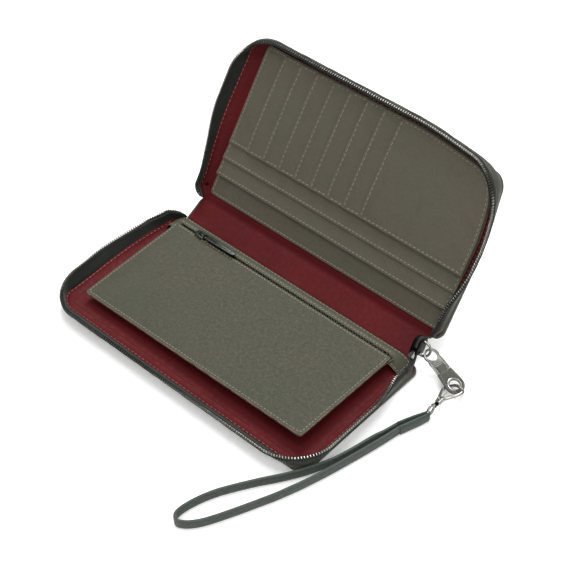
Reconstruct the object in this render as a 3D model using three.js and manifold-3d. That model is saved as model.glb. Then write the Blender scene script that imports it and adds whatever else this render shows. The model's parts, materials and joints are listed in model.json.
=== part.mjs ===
// A zip-around passport holder wallet that lies open on its lower cover, with its upper cover leaning back.
// Millimetres, +Z up, +X along the spine. The origin is the centre of the lower cover's resting face.
import * as THREE from "three";
import { mergeVertices } from "three/addons/utils/BufferGeometryUtils.js";
import Module from "manifold-3d";

const wasm = await Module();
wasm.setup();

// ---- driving dimensions ----
const COVER_LENGTH = 190; // along the spine
const COVER_EDGE = 98.5; // from a fold to the cover's far edge
const COVER_CORNER = 9;
const FOLD_CORNER = 6;
const FOLD_HEIGHT = 3.2; // a fold's axis above the outer face of the cover
const FOLD_GAP = 0.3; // from the axis to the leather on either side of it
const SPINE_WIDTH = 17.6; // between the two fold axes
const SPINE_LEFT = -89.5;
const SPINE_RIGHT = 85.5;
const FOLD_ANGLE = THREE.MathUtils.degToRad(27); // each of the two folds, as the wallet lies open

const LEATHER = 0.9;
const GAP = 0.3; // between pieces that touch
const BOARD_Z = [1.2, 2.3];
const LINING_Z = [2.6, 3.0];
const BOARD_INSET = 3.2;

const FOOT_X = 93.8; // line along which the zip wall is sewn to the cover
const FOOT_FRONT = 97.3;
const FOOT_CORNER = 7.8;
const RIM_LEFT = 101; // line of the teeth, which leans out past the cover
const RIM_RIGHT = 98.6;
const RIM_FRONT = 105.2;
const RIM_CORNER = 28;
const RIM_HEIGHT = 10.8;
const WALL_START = 7.5; // distance of the wall's ends from the fold
const WALL_END_X = 91.5;
const WALL_END_HEIGHT = 8;
const WALL_FOOT_HEIGHT = LEATHER + 0.5;

const PANEL_LEFT = -84.2; // card panel of the upper half
const PANEL_RIGHT = 90.4;
const PANEL_BOTTOM = 5;
const PANEL_TOP = 96.2;
const DOCUMENT_EDGES = [17.9, 28.4, 38.9];
const DOCUMENT_PITCH = 10.5;
const CARD_FIRST = -69.2;
const CARD_PITCH = 12.55;
const CARD_SLOTS = 8;
const SHEET = 0.4;

const COIN_LEFT = -84;
const COIN_RIGHT = 82.4;
const COIN_DEPTH = 78;
const COIN_HINGE = [7.9, 8.5]; // distance from the fold, height
const COIN_TILT = THREE.MathUtils.degToRad(1);
const COIN_CHAIN = [-79, 78];
const COIN_SLIDER_X = -64;
const PULL_LENGTH = 25;

const SLIDER_CENTRE = [89, 5, 13.3];
const RING_CENTRE = [98.0, 5.0, 11.2];
const EYELET_CENTRE = [117.6, 0.9, 5.2];
const STRAP_HEIGHT = 6;
const STRAP_THICKNESS = 1.6;
const STRAP_Z = 3.1;

// ---- materials ----
function material(color, roughness, metalness = 0) {
  return new THREE.MeshStandardMaterial({ color, roughness, metalness });
}
const olive = () => material(0x5d5e4f, 0.62);
const red = () => material(0x742a2c, 0.8);
const black = () => material(0x161715, 0.85);
const board = () => material(0x9a8f7c, 0.9);
const darkNickel = () => material(0x4a4b4a, 0.35, 0.9);
const silver = () => material(0xc9cac6, 0.25, 1);
const strapLeather = () => material(0x3c453d, 0.6);

// ---- geometry helpers ----
function facingOut(geometry) {
  const p = geometry.getAttribute("position");
  if (!geometry.index) geometry.setIndex([...Array(p.count).keys()]);
  const index = geometry.index.array;
  const corner = (i) => new THREE.Vector3().fromBufferAttribute(p, index[i]);
  let volume = 0;
  for (let i = 0; i < index.length; i += 3) {
    volume += corner(i).dot(corner(i + 1).cross(corner(i + 2)));
  }
  if (volume < 0) index.reverse();
  return geometry;
}

// A closed body through rings that have the same number of corners, with flat ends.
function loft(rings) {
  const sides = rings[0].length;
  const index = [];
  for (let r = 0; r + 1 < rings.length; r++) {
    for (let s = 0; s < sides; s++) {
      const a = r * sides + s;
      const b = r * sides + ((s + 1) % sides);
      index.push(a, b, b + sides, a, b + sides, a + sides);
    }
  }
  const last = (rings.length - 1) * sides;
  for (let s = 1; s + 1 < sides; s++) {
    index.push(0, s + 1, s, last, last + s, last + s + 1);
  }
  const geometry = new THREE.BufferGeometry();
  const positions = rings.flat().flatMap((p) => [p.x, p.y, p.z]);
  geometry.setAttribute("position", new THREE.Float32BufferAttribute(positions, 3));
  geometry.setIndex(index);
  return facingOut(geometry);
}

// corners: radii at low-x low-y, high-x low-y, high-x high-y, low-x high-y
function roundedRect([x0, x1], [y0, y1], corners) {
  const [a, b, c, d] = corners;
  const shape = new THREE.Shape();
  shape.moveTo(x0 + a, y0);
  shape.lineTo(x1 - b, y0);
  if (b) shape.absarc(x1 - b, y0 + b, b, -Math.PI / 2, 0);
  shape.lineTo(x1, y1 - c);
  if (c) shape.absarc(x1 - c, y1 - c, c, 0, Math.PI / 2);
  shape.lineTo(x0 + d, y1);
  if (d) shape.absarc(x0 + d, y1 - d, d, Math.PI / 2, Math.PI);
  shape.lineTo(x0, y0 + a);
  if (a) shape.absarc(x0 + a, y0 + a, a, Math.PI, 1.5 * Math.PI);
  return shape;
}

function plate(shape, [z0, z1], curveSegments = 6) {
  const options = { depth: z1 - z0, bevelEnabled: false, curveSegments };
  return new THREE.ExtrudeGeometry(shape, options).translate(0, 0, z0);
}

function box([x0, x1], [y0, y1], [z0, z1]) {
  const geometry = new THREE.BoxGeometry(x1 - x0, y1 - y0, z1 - z0);
  return geometry.translate((x0 + x1) / 2, (y0 + y1) / 2, (z0 + z1) / 2);
}

function tube(points, radius, steps, sides) {
  const section = new THREE.Shape();
  section.absarc(0, 0, radius, 0, 2 * Math.PI);
  const path = new THREE.CatmullRomCurve3(points.map((p) => new THREE.Vector3(...p)));
  const options = { steps, extrudePath: path, bevelEnabled: false, curveSegments: sides };
  return new THREE.ExtrudeGeometry(section, options);
}

function solid(geometry) {
  const bare = geometry.clone();
  bare.deleteAttribute("normal");
  bare.deleteAttribute("uv");
  const merged = mergeVertices(bare, 1e-4);
  const mesh = new wasm.Mesh({
    numProp: 3,
    vertProperties: merged.attributes.position.array,
    triVerts: new Uint32Array(merged.index.array),
  });
  return new wasm.Manifold(mesh);
}

function geometryOf(manifold) {
  const mesh = manifold.getMesh();
  const geometry = new THREE.BufferGeometry();
  geometry.setAttribute("position", new THREE.BufferAttribute(mesh.vertProperties, 3));
  geometry.setIndex(new THREE.BufferAttribute(mesh.triVerts, 1));
  return geometry;
}

function joined(first, ...others) {
  return geometryOf(others.reduce((all, g) => all.add(solid(g)), solid(first)));
}

// Both halves are drawn with y running outwards from the fold. In the lower half, and the groups in it,
// that is towards the front, so the geometry placed there is mirrored.
function place(parent, name, geometry, surface) {
  if (parent.userData.front) facingOut(geometry.scale(1, -1, 1));
  const mesh = new THREE.Mesh(geometry, surface);
  mesh.name = name;
  parent.add(mesh);
  return mesh;
}

function frameAt(parent, position, rotation = [0, 0, 0]) {
  const group = new THREE.Group();
  group.position.set(...position);
  group.rotation.set(...rotation);
  parent.add(group);
  return group;
}

const { lerp, smoothstep } = THREE.MathUtils;

// ---- one half: x along the spine, y outwards from the fold, z inwards from the outer face ----
function rimSide(sign, y) {
  const far = sign < 0 ? RIM_LEFT : RIM_RIGHT;
  return lerp(WALL_END_X, far, smoothstep(y, WALL_START, sign < 0 ? 60 : 45));
}

function rimHeight(y) {
  return lerp(WALL_END_HEIGHT, RIM_HEIGHT, smoothstep(y, WALL_START, 22));
}

function sideStation(sign, t) {
  const footY = lerp(WALL_START, FOOT_FRONT - FOOT_CORNER, t);
  const rimY = lerp(WALL_START, RIM_FRONT - RIM_CORNER, t);
  return {
    foot: new THREE.Vector3(sign * FOOT_X, footY, WALL_FOOT_HEIGHT),
    rim: new THREE.Vector3(sign * rimSide(sign, rimY), rimY, rimHeight(rimY)),
  };
}

function cornerStation(sign, t) {
  const x = sign * Math.cos((t * Math.PI) / 2);
  const y = Math.sin((t * Math.PI) / 2);
  const far = sign < 0 ? RIM_LEFT : RIM_RIGHT;
  const at = (side, front, r, z) =>
    new THREE.Vector3(sign * (side - r) + r * x, front - r + r * y, z);
  return {
    foot: at(FOOT_X, FOOT_FRONT, FOOT_CORNER, WALL_FOOT_HEIGHT),
    rim: at(far, RIM_FRONT, RIM_CORNER, RIM_HEIGHT),
  };
}

// Pairs of points, where the wall is sewn on and at the teeth above, from the left end round to the right.
function wallStations() {
  const [sideSteps, cornerSteps, frontSteps] = [10, 7, 5];
  const stations = [];
  for (let i = 0; i < sideSteps; i++) stations.push(sideStation(-1, i / sideSteps));
  for (let i = 0; i < cornerSteps; i++) stations.push(cornerStation(-1, i / cornerSteps));
  const [left, right] = [cornerStation(-1, 1), cornerStation(1, 1)];
  for (let i = 0; i < frontSteps; i++) {
    const t = i / frontSteps;
    stations.push({
      foot: left.foot.clone().lerp(right.foot, t),
      rim: left.rim.clone().lerp(right.rim, t),
    });
  }
  for (let i = cornerSteps; i > 0; i--) stations.push(cornerStation(1, i / cornerSteps));
  for (let i = sideSteps; i >= 0; i--) stations.push(sideStation(1, i / sideSteps));
  return stations;
}

// A layer of the wall: span gives its low and high edge from the wall's slant height, [b0, b1] is its
// place across the wall, with 0 at the leather's middle and minus inwards, and rows divides its height.
function wallLayer(span, [b0, b1], rows = 1) {
  const stations = wallStations();
  const middle = stations.map(({ foot, rim }) => foot.clone().add(rim).multiplyScalar(0.5));
  const rings = stations.map(({ foot, rim }, i) => {
    const up = rim.clone().sub(foot);
    const slant = up.length();
    up.normalize();
    const next = middle[Math.min(i + 1, middle.length - 1)];
    const along = next.clone().sub(middle[Math.max(i - 1, 0)]);
    const out = along.cross(up).normalize().negate();
    const [a0, a1] = span(slant);
    const at = (t, b) =>
      foot.clone().addScaledVector(up, lerp(a0, a1, t / rows)).addScaledVector(out, b);
    const inner = Array.from({ length: rows + 1 }, (_, row) => at(row, b0));
    const outer = Array.from({ length: rows + 1 }, (_, row) => at(rows - row, b1));
    return [...inner, ...outer];
  });
  return loft(rings);
}

function coverHalf(parent, name) {
  const edge = COVER_LENGTH / 2;
  const near = [FOLD_GAP, COVER_EDGE];
  const cover = roundedRect([-edge, edge], near, [FOLD_CORNER, FOLD_CORNER, COVER_CORNER, COVER_CORNER]);
  const inner = roundedRect(
    [-edge + BOARD_INSET, edge - BOARD_INSET],
    [1.4, COVER_EDGE - BOARD_INSET],
    [4, 4, 6, 6],
  );
  place(parent, name + "_cover_leather", plate(cover, [0, LEATHER]), olive());
  place(parent, name + "_cover_board", plate(inner, BOARD_Z), board());
  place(parent, name + "_cover_lining", plate(inner, LINING_Z), red());
  place(parent, name + "_zip_wall", wallLayer((s) => [0, s - 2], [-0.4, 0.4], 3), olive());
  place(parent, name + "_zip_tape", wallLayer((s) => [2.5, s - 1.6], [-1.2, -0.8], 3), black());
  place(parent, name + "_wall_lining", wallLayer(() => [2.6, 4.6], [-2.0, -1.6]), red());
  place(parent, name + "_zip_teeth", wallLayer((s) => [s - 1.2, s + 0.2], [-0.9, 0.5]), darkNickel());
  const end = WALL_START - GAP;
  const stopSides = [-WALL_END_X - 1, -WALL_END_X + 1];
  const stop = box(stopSides, [end - 1.6, end], [WALL_END_HEIGHT - 1.6, WALL_END_HEIGHT]);
  place(parent, name + "_zip_stop", stop, darkNickel());
}

// ---- card panel of the upper half ----
// A sheet whose free edge is lifted by the next one's thickness, so that each lies over the one before it.
const OVERLAP = 3.5;
const LIFT = SHEET + GAP;

function slotSheet(from, pitch, base, corner) {
  const at = (s) => base + 0.5 + LIFT * (1 - (s - from) / pitch);
  const ring = (s) => corner(s, at(s));
  return loft([ring(from), ring(from + pitch), ring(from + pitch + OVERLAP)]);
}

function cardPanel(parent) {
  const backing = roundedRect([PANEL_LEFT, PANEL_RIGHT], [PANEL_BOTTOM, PANEL_TOP], [2, 2, 18, 3]);
  const backingZ = [LINING_Z[1] + GAP, LINING_Z[1] + GAP + 0.5];
  place(parent, "card_panel_backing", plate(backing, backingZ), olive());

  for (let k = 0; k < 2; k++) {
    const corner = (y, z) => [
      new THREE.Vector3(PANEL_LEFT, y, z),
      new THREE.Vector3(PANEL_RIGHT, y, z),
      new THREE.Vector3(PANEL_RIGHT, y, z + SHEET),
      new THREE.Vector3(PANEL_LEFT, y, z + SHEET),
    ];
    const sheet = slotSheet(DOCUMENT_EDGES[k], DOCUMENT_PITCH, backingZ[1], corner);
    place(parent, "document_slot_" + (k + 1), sheet, olive());
  }
  const fieldZ = backingZ[1] + 0.5 + LIFT;
  const field = roundedRect([PANEL_LEFT, PANEL_RIGHT], [DOCUMENT_EDGES[2], PANEL_TOP], [0, 0, 18, 3]);
  place(parent, "document_slot_3", plate(field, [fieldZ, fieldZ + SHEET]), olive());

  const cardBottom = DOCUMENT_EDGES[2] + 0.4;
  const cardTop = PANEL_TOP - 0.4;
  for (let k = 0; k + 1 < CARD_SLOTS; k++) {
    const corner = (x, z) => [
      new THREE.Vector3(x, cardBottom, z),
      new THREE.Vector3(x, cardTop, z),
      new THREE.Vector3(x, cardTop, z + SHEET),
      new THREE.Vector3(x, cardBottom, z + SHEET),
    ];
    const sheet = slotSheet(CARD_FIRST + k * CARD_PITCH, CARD_PITCH, fieldZ + SHEET, corner);
    place(parent, "card_slot_" + (k + 1), sheet, olive());
  }
  const frontLeft = CARD_FIRST + (CARD_SLOTS - 1) * CARD_PITCH;
  const front = roundedRect([frontLeft, PANEL_RIGHT], [cardBottom, cardTop], [0, 0, 18, 0]);
  const frontZ = fieldZ + SHEET + 0.5 + LIFT;
  place(parent, "card_slot_" + CARD_SLOTS, plate(front, [frontZ, frontZ + SHEET]), olive());
}

// ---- coin pocket: a zipped leaf on a band that spans the lower half along the spine ----
function coinPocketBand(parent) {
  const profile = [
    [-90.4, 3.4],
    [COIN_LEFT - 1.5, 7.3],
    [COIN_RIGHT + 1.1, 7.3],
    [89.6, 3.4],
  ];
  const rings = profile.map(([x, z]) => [
    new THREE.Vector3(x, 0.8, z),
    new THREE.Vector3(x, 13, z),
    new THREE.Vector3(x, 13, z + 0.6),
    new THREE.Vector3(x, 0.8, z + 0.6),
  ]);
  place(parent, "coin_pocket_band", loft(rings), olive());
}

function coinPocket(parent) {
  const sides = [COIN_LEFT, COIN_RIGHT];
  const back = roundedRect(sides, [GAP, COIN_DEPTH], [1, 1, 2, 2]);
  const front = roundedRect(sides, [4, COIN_DEPTH], [1, 1, 2, 2]);
  place(parent, "coin_back_panel", plate(back, [-0.3, 0.3]), olive());
  place(parent, "coin_front_panel", plate(front, [2.7, 3.4]), olive());

  // lining bag, folded at the far edge and open towards the zip
  const [left, right] = [COIN_LEFT + 1.5, COIN_RIGHT - 1.5];
  const far = COIN_DEPTH - 1.5;
  const profile = [
    [2.3, 0.6],
    [far, 0.6],
    [far, 2.4],
    [8.7, 2.4],
    [8.7, 2.0],
    [far - 0.4, 2.0],
    [far - 0.4, 1.0],
    [2.3, 1.0],
  ];
  const bag = new THREE.Shape(profile.map(([y, z]) => new THREE.Vector2(y, z)));
  const lining = new THREE.ExtrudeGeometry(bag, { depth: right - left, bevelEnabled: false });
  lining.rotateX(Math.PI / 2).rotateZ(Math.PI / 2).translate(left, 0, 0);
  place(parent, "coin_pocket_lining", lining, red());

  place(parent, "coin_zip_tape_front", box([-80, 79], [3.7, 8.4], [2.0, 2.4]), black());
  place(parent, "coin_zip_tape_rear", box([-80, 79], [1.5, 2.0], [0.6, 2.0]), black());
  place(parent, "coin_zip_chain", box(COIN_CHAIN, [1.4, 3.4], [2.3, 3.4]), darkNickel());
  const stops = { left: COIN_CHAIN[0] - GAP - 1.2, right: COIN_CHAIN[1] + GAP };
  for (const [side, x] of Object.entries(stops)) {
    place(parent, "coin_zip_stop_" + side, box([x, x + 1.2], [1.2, 3.5], [2.3, 3.5]), darkNickel());
  }

  // slider plate with a hump that the pull is hooked on
  const hump = new THREE.Shape();
  const outline = [
    [-4.3, 0],
    [4.3, 0],
    [4.3, 1],
    [2.6, 1],
    [2.1, 2.3],
    [0.9, 2.3],
    [0.4, 1],
    [-4.3, 1],
  ];
  hump.setFromPoints(outline.map(([x, z]) => new THREE.Vector2(x, z)));
  const slider = new THREE.ExtrudeGeometry(hump, { depth: 6, bevelEnabled: false });
  slider.rotateX(Math.PI / 2).translate(COIN_SLIDER_X, 5.4, 3.7);
  place(parent, "coin_slider_body", slider, darkNickel());

  const pullStart = COIN_SLIDER_X + 3.2;
  const bar = roundedRect([pullStart, pullStart + PULL_LENGTH], [0.5, 4.3], [1.6, 1.2, 1.2, 1.6]);
  place(parent, "coin_slider_pull", plate(bar, [5.0, 5.9], 3), darkNickel());
}

// ---- main zip's parked slider and the end of the tape that leads to it ----
function mainSlider(parent) {
  const stations = [
    [92.0, -6.8, 4.0, 8.4],
    [91.6, -3.0, 4.5, 9.0],
    [90.4, 0.2, 5.0, 9.6],
  ];
  const rings = stations.map(([x, y, low, high]) => [
    new THREE.Vector3(x - 0.4, y, low),
    new THREE.Vector3(x + 0.4, y, low),
    new THREE.Vector3(x + 0.4, y, high),
    new THREE.Vector3(x - 0.4, y, high),
  ]);
  place(parent, "zip_end_tape", loft(rings), black());

  const slider = frameAt(parent, SLIDER_CENTRE, [-Math.PI / 6, 0, 0]);
  const section = new THREE.Shape();
  const outline = [
    [-2.3, -4],
    [-1.3, -4],
    [-1.3, -1],
    [1.3, -1],
    [1.3, -4],
    [2.3, -4],
    [2.3, 4],
    [1.3, 4],
    [1.3, 1],
    [-1.3, 1],
    [-1.3, 4],
    [-2.3, 4],
  ];
  section.setFromPoints(outline.map(([x, y]) => new THREE.Vector2(x, y)));
  place(slider, "main_slider_body", plate(section, [-5, 5]), silver());
  const arch = [
    [2.7, 0, -4.2],
    [5.6, 0, -4.1],
    [7.5, 0, -2.3],
    [8.0, 0, 0.2],
    [5.9, 0, 2.9],
    [2.7, 0, 3.4],
  ];
  place(slider, "main_slider_bail", tube(arch, 0.65, 12, 4), silver());
}

// ---- puller: ring and fork, leather tab, eyelet. x runs from the ring's centre to the eyelet ----
function puller(parent) {
  const span = new THREE.Vector3(...EYELET_CENTRE).sub(new THREE.Vector3(...RING_CENTRE));
  const yaw = Math.atan2(span.y, span.x);
  const pitch = Math.asin(-span.z / span.length());
  const turned = frameAt(frameAt(parent, RING_CENTRE, [0, 0, yaw]), [0, 0, 0], [0, pitch, 0]);
  const eyelet = span.length();

  const head = new THREE.Shape();
  head.moveTo(10.8, 4.5);
  head.lineTo(4.2, 4.3);
  head.absarc(0, 0, 4.5, Math.PI / 3, (5 * Math.PI) / 3);
  head.lineTo(4.2, -4.3);
  head.lineTo(10.8, -4.5);
  head.lineTo(10.8, -2.7);
  head.lineTo(6.4, -2.6);
  head.lineTo(6.4, 2.6);
  head.lineTo(10.8, 2.7);
  head.holes.push(new THREE.Path().absarc(0, 0, 3.3, 0, 2 * Math.PI, true));
  place(turned, "puller_head", plate(head, [-0.7, 0.7], 6), silver());

  const tab = new THREE.Shape();
  tab.moveTo(6.8, -2.3);
  tab.lineTo(11.2, -2.3);
  tab.lineTo(11.2, -4.6);
  tab.lineTo(eyelet, -5.6);
  tab.absarc(eyelet, 0, 5.6, -Math.PI / 2, Math.PI / 2);
  tab.lineTo(11.2, 4.6);
  tab.lineTo(11.2, 2.3);
  tab.lineTo(6.8, 2.3);
  tab.holes.push(new THREE.Path().absarc(eyelet, 0, 4.5, 0, 2 * Math.PI, true));
  place(turned, "puller_leather", plate(tab, [-0.7, 0.7], 8), olive());

  const rim = new THREE.Shape();
  rim.absarc(eyelet, 0, 4.2, 0, 2 * Math.PI);
  rim.holes.push(new THREE.Path().absarc(eyelet, 0, 3.35, 0, 2 * Math.PI, true));
  place(turned, "puller_eyelet", plate(rim, [-0.9, 0.9], 8), silver());
}

// ---- snap clasp hooked through the eyelet. x runs from the eyelet to the swivel ----
const CLASP_YAW = THREE.MathUtils.degToRad(-87);
const CLASP_ROLL = THREE.MathUtils.degToRad(20);

function clasp(parent) {
  const level = frameAt(parent, EYELET_CENTRE, [0, 0, CLASP_YAW]);
  const rolled = frameAt(level, [0, 0, 0], [CLASP_ROLL, 0, 0]);
  const hook = [
    [13.0, 0.6, 0],
    [11.0, 3.0, 0],
    [6.4, 6.9, 0],
    [4.2, 8.0, 0],
    [2.6, 7.2, 0],
    [1.1, 3.6, 0.7],
    [0.4, 0.4, 0],
    [1.5, -3.4, -1.0],
    [3.4, -4.7, -0.8],
    [5.3, -4.3, -0.3],
  ];
  const base = box([12.4, 16.4], [-2.4, 2.0], [-1.1, 1.1]);
  place(rolled, "clasp_frame", joined(tube(hook, 0.85, 26, 4), base), silver());
  const gate = roundedRect([0, 6.0], [-0.7, 0.7], [0.6, 0.5, 0.5, 0.6]);
  const hinge = frameAt(rolled, [11.9, -1.9, 0], [0, 0, Math.PI + THREE.MathUtils.degToRad(22)]);
  place(hinge, "clasp_gate", plate(gate, [-0.7, 0.7], 3), silver());
  const rivet = new THREE.CylinderGeometry(0.9, 0.9, 0.5, 12).rotateX(Math.PI / 2);
  place(rolled, "clasp_rivet", rivet.translate(14, -0.4, 1.65), silver());
  place(rolled, "clasp_gate_spring", box([7.4, 11.6], [-0.4, 0], [-0.4, 0.4]), silver());

  const post = new THREE.CylinderGeometry(1.1, 1.1, 3.2, 10).rotateZ(Math.PI / 2).translate(18.3, 0, 0);
  const ring = new THREE.Shape();
  ring.absarc(22.6, 0, 3.9, 0, 2 * Math.PI);
  ring.holes.push(new THREE.Path().absarc(22.6, 0, 2.6, 0, 2 * Math.PI, true));
  const loop = plate(ring, [-0.8, 0.8], 6).rotateX(Math.PI / 2);
  place(level, "strap_swivel", joined(post, loop), silver());
}

// ---- wrist strap: one band on its edge, out and back, with both ends in a stitched tab ----
const STRAP_ROUTE = [
  [110.6, -41.3],
  [108.9, -49.8],
  [107.4, -55],
  [105.6, -64.5],
  [103.5, -73.5],
  [101.1, -82],
  [97.9, -89.6],
  [94.5, -96.6],
  [90.5, -103.4],
  [86.2, -110],
  [81.8, -116.4],
  [77.7, -122.9],
  [73.7, -129.5],
  [69.9, -136.2],
  [66.8, -143.6],
  [64.5, -151.6],
  [63.7, -158.1],
  [64.7, -161.7],
  [67.8, -163.2],
  [71.7, -161.2],
  [74.6, -158.3],
  [77.6, -154.2],
  [81.1, -147.7],
  [84.4, -140.6],
  [87.6, -133.5],
  [90.8, -126.1],
  [93.9, -118.9],
  [96.8, -111],
  [99.5, -103],
  [102, -94.7],
  [104.3, -86.3],
  [106.5, -77.2],
  [108.7, -68.1],
  [110.8, -59.1],
  [112.2, -53],
  [114.4, -42.4],
];

function bandSection(width, height) {
  const chamfer = 0.4;
  const [w, h] = [width / 2, height / 2];
  const outline = [
    [-h, -w + chamfer],
    [-h + chamfer, -w],
    [h - chamfer, -w],
    [h, -w + chamfer],
    [h, w - chamfer],
    [h - chamfer, w],
    [-h + chamfer, w],
    [-h, w - chamfer],
  ];
  return new THREE.Shape(outline.map(([x, y]) => new THREE.Vector2(x, y)));
}

function wristStrap(parent) {
  const points = STRAP_ROUTE.map(([x, y]) => new THREE.Vector3(x, y, STRAP_Z));
  const path = new THREE.CatmullRomCurve3(points);
  const options = { steps: 90, extrudePath: path, bevelEnabled: false };
  const band = new THREE.ExtrudeGeometry(bandSection(STRAP_THICKNESS, STRAP_HEIGHT), options);
  place(parent, "wrist_strap", band, strapLeather());

  // the tab widens from the swivel's ring to the two ends side by side
  const ends = [
    [118.3, -26.5, 1.5, 2.6],
    [116.4, -31.2, 2.3, 3.0],
    [112.6, -41.4, 3.0, 3.0],
  ];
  const along = new THREE.Vector2(ends[2][0] - ends[0][0], ends[2][1] - ends[0][1]).normalize();
  const rings = ends.map(([x, y, half, tall]) => {
    const [dx, dy] = [-along.y * half, along.x * half];
    return [
      new THREE.Vector3(x - dx, y - dy, STRAP_Z - tall),
      new THREE.Vector3(x + dx, y + dy, STRAP_Z - tall),
      new THREE.Vector3(x + dx, y + dy, STRAP_Z + tall),
      new THREE.Vector3(x - dx, y - dy, STRAP_Z + tall),
    ];
  });
  place(parent, "strap_end_tab", loft(rings), strapLeather());
}

// ---- assembly ----
const wallet = new THREE.Group();
const book = frameAt(wallet, [0, (FOLD_GAP + COVER_EDGE) / 2, 0]);

const lower = frameAt(book, [0, 0, 0]);
lower.userData.front = true;
coverHalf(lower, "lower");
coinPocketBand(lower);
const [coinY, coinZ] = COIN_HINGE;
const coinLeaf = frameAt(lower, [0, -coinY, coinZ], [-COIN_TILT, 0, 0]);
coinLeaf.userData.front = true;
coinPocket(coinLeaf);

const spine = frameAt(book, [0, 0, FOLD_HEIGHT], [FOLD_ANGLE, 0, 0]);
const spineShape = (from) =>
  roundedRect([SPINE_LEFT, SPINE_RIGHT], [from, SPINE_WIDTH - from], [1, 1, 1, 1]);
const fromFold = ([low, high]) => [low - FOLD_HEIGHT, high - FOLD_HEIGHT];
place(spine, "spine_leather", plate(spineShape(FOLD_GAP), fromFold([0, LEATHER])), olive());
place(spine, "spine_board", plate(spineShape(1.4), fromFold(BOARD_Z)), board());
place(spine, "spine_lining", plate(spineShape(1.0), fromFold(LINING_Z)), red());

const upperFold = frameAt(spine, [0, SPINE_WIDTH, 0], [FOLD_ANGLE, 0, 0]);
const upper = frameAt(upperFold, [0, 0, -FOLD_HEIGHT]);
coverHalf(upper, "upper");
cardPanel(upper);

mainSlider(book);
puller(book);
clasp(book);
wristStrap(book);

export default wallet;
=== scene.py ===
"""A zip-around passport wallet lying open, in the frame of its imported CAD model.

Lengths in this file are millimetres in the wallet's own book coordinates, which book() turns to metres in
the row frame: x along the spine, t across it, and w the height over the outer face of the leather. At the
first fold t is 0. It is below 0 on the lower half, and above the spine's width on the upper half.
"""
import json
import math

import bmesh
import bpy
import numpy as np
from mathutils import Matrix, Vector


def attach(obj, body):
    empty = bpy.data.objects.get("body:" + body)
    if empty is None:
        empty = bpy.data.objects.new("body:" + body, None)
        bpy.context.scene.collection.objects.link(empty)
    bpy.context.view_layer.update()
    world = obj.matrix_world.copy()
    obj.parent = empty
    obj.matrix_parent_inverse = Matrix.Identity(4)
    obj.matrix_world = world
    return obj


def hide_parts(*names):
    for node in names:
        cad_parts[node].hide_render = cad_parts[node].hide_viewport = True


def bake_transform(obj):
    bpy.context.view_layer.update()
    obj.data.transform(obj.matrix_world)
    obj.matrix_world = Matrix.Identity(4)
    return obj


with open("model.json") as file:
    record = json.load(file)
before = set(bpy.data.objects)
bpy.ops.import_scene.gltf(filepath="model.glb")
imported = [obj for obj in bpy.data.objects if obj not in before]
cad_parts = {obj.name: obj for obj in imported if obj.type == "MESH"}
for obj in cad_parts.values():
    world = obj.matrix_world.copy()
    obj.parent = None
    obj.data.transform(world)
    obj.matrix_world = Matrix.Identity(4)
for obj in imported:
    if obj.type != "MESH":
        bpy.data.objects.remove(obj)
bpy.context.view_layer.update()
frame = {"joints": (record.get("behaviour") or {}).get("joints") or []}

MM = 0.001
JOINTS = {joint["name"]: joint for joint in frame["joints"]}

# ---- where things are, from the frame ----
FOLD = np.array(JOINTS["spine_fold"]["pos_m"]) / MM
FAR_FOLD = np.array(JOINTS["cover_fold"]["pos_m"]) / MM
SPINE = float(np.hypot(FAR_FOLD[1] - FOLD[1], FAR_FOLD[2] - FOLD[2]))
ANGLE = math.atan2(FAR_FOLD[2] - FOLD[2], FAR_FOLD[1] - FOLD[1])
AXIS_W = float(FOLD[2])
BEND = 3.0  # how far from a fold's axis the leather bends, to either side

COVER_X = 95.0
COVER_V = 98.5
SPINE_LEFT, SPINE_RIGHT = -89.5, 85.5
FLOOR_W = 3.0  # top of the lining

FOOT_X, FOOT_FRONT, FOOT_CORNER = 93.8, 97.3, 7.8
RIM_LEFT, RIM_RIGHT, RIM_FRONT, RIM_CORNER = 101.0, 98.6, 105.2, 28.0
RIM_HEIGHT, LEFT_END_HEIGHT, RIGHT_END_HEIGHT, END_X = 10.8, 10.9, 8.0, 91.5
BELLY_V = (-0.4, 2, 4, 7.5, 20, 35, 50, 70, 85)  # how far the lower wall's left end stands out, along v
BELLY = (0, 2.0, 3.6, 4.8, 6.2, 4.1, 2.0, 0.5, 0)

LEAF_TILT = math.radians(1.0)
LEAF_DROOP = 3.1  # at the leaf's front left corner
LEAF = np.array(JOINTS["coin_leaf"]["pos_m"]) / MM
COIN = (-84.0, 82.4, 3.2, 78.0)


# ---- numbers ----
def smooth(t):
    t = np.clip(t, 0, 1)
    return t * t * (3 - 2 * t)


def lerp(a, b, t):
    return a + (b - a) * t


def run_length(path):
    """The distance along a path at each of its points."""
    return np.r_[0, np.cumsum(np.linalg.norm(np.diff(path, axis=0), axis=1))]


def at_length(where, lengths, values):
    """Values given at these lengths, read off at others."""
    return np.stack([np.interp(where, lengths, values[..., k]) for k in range(values.shape[-1])], -1)


def full_turn(count):
    """Angles of count even steps once round."""
    return np.linspace(0, math.tau, count + 1)[:-1]


def flats(shape, along, across):
    """Flat coordinates for rings of that shape."""
    flat = np.zeros(shape)
    flat[..., 0], flat[..., 1] = along, across
    return flat


def unit(v):
    v = np.asarray(v, float)
    return v / np.maximum(np.linalg.norm(v, axis=-1, keepdims=True), 1e-12)


def turned(points, share, at, angle):
    y, z = points[:, 1] - at, points[:, 2] - AXIS_W
    c, s = np.cos(share * angle), np.sin(share * angle)
    return np.stack([points[:, 0], at + y * c - z * s, AXIS_W + y * s + z * c], 1)


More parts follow.
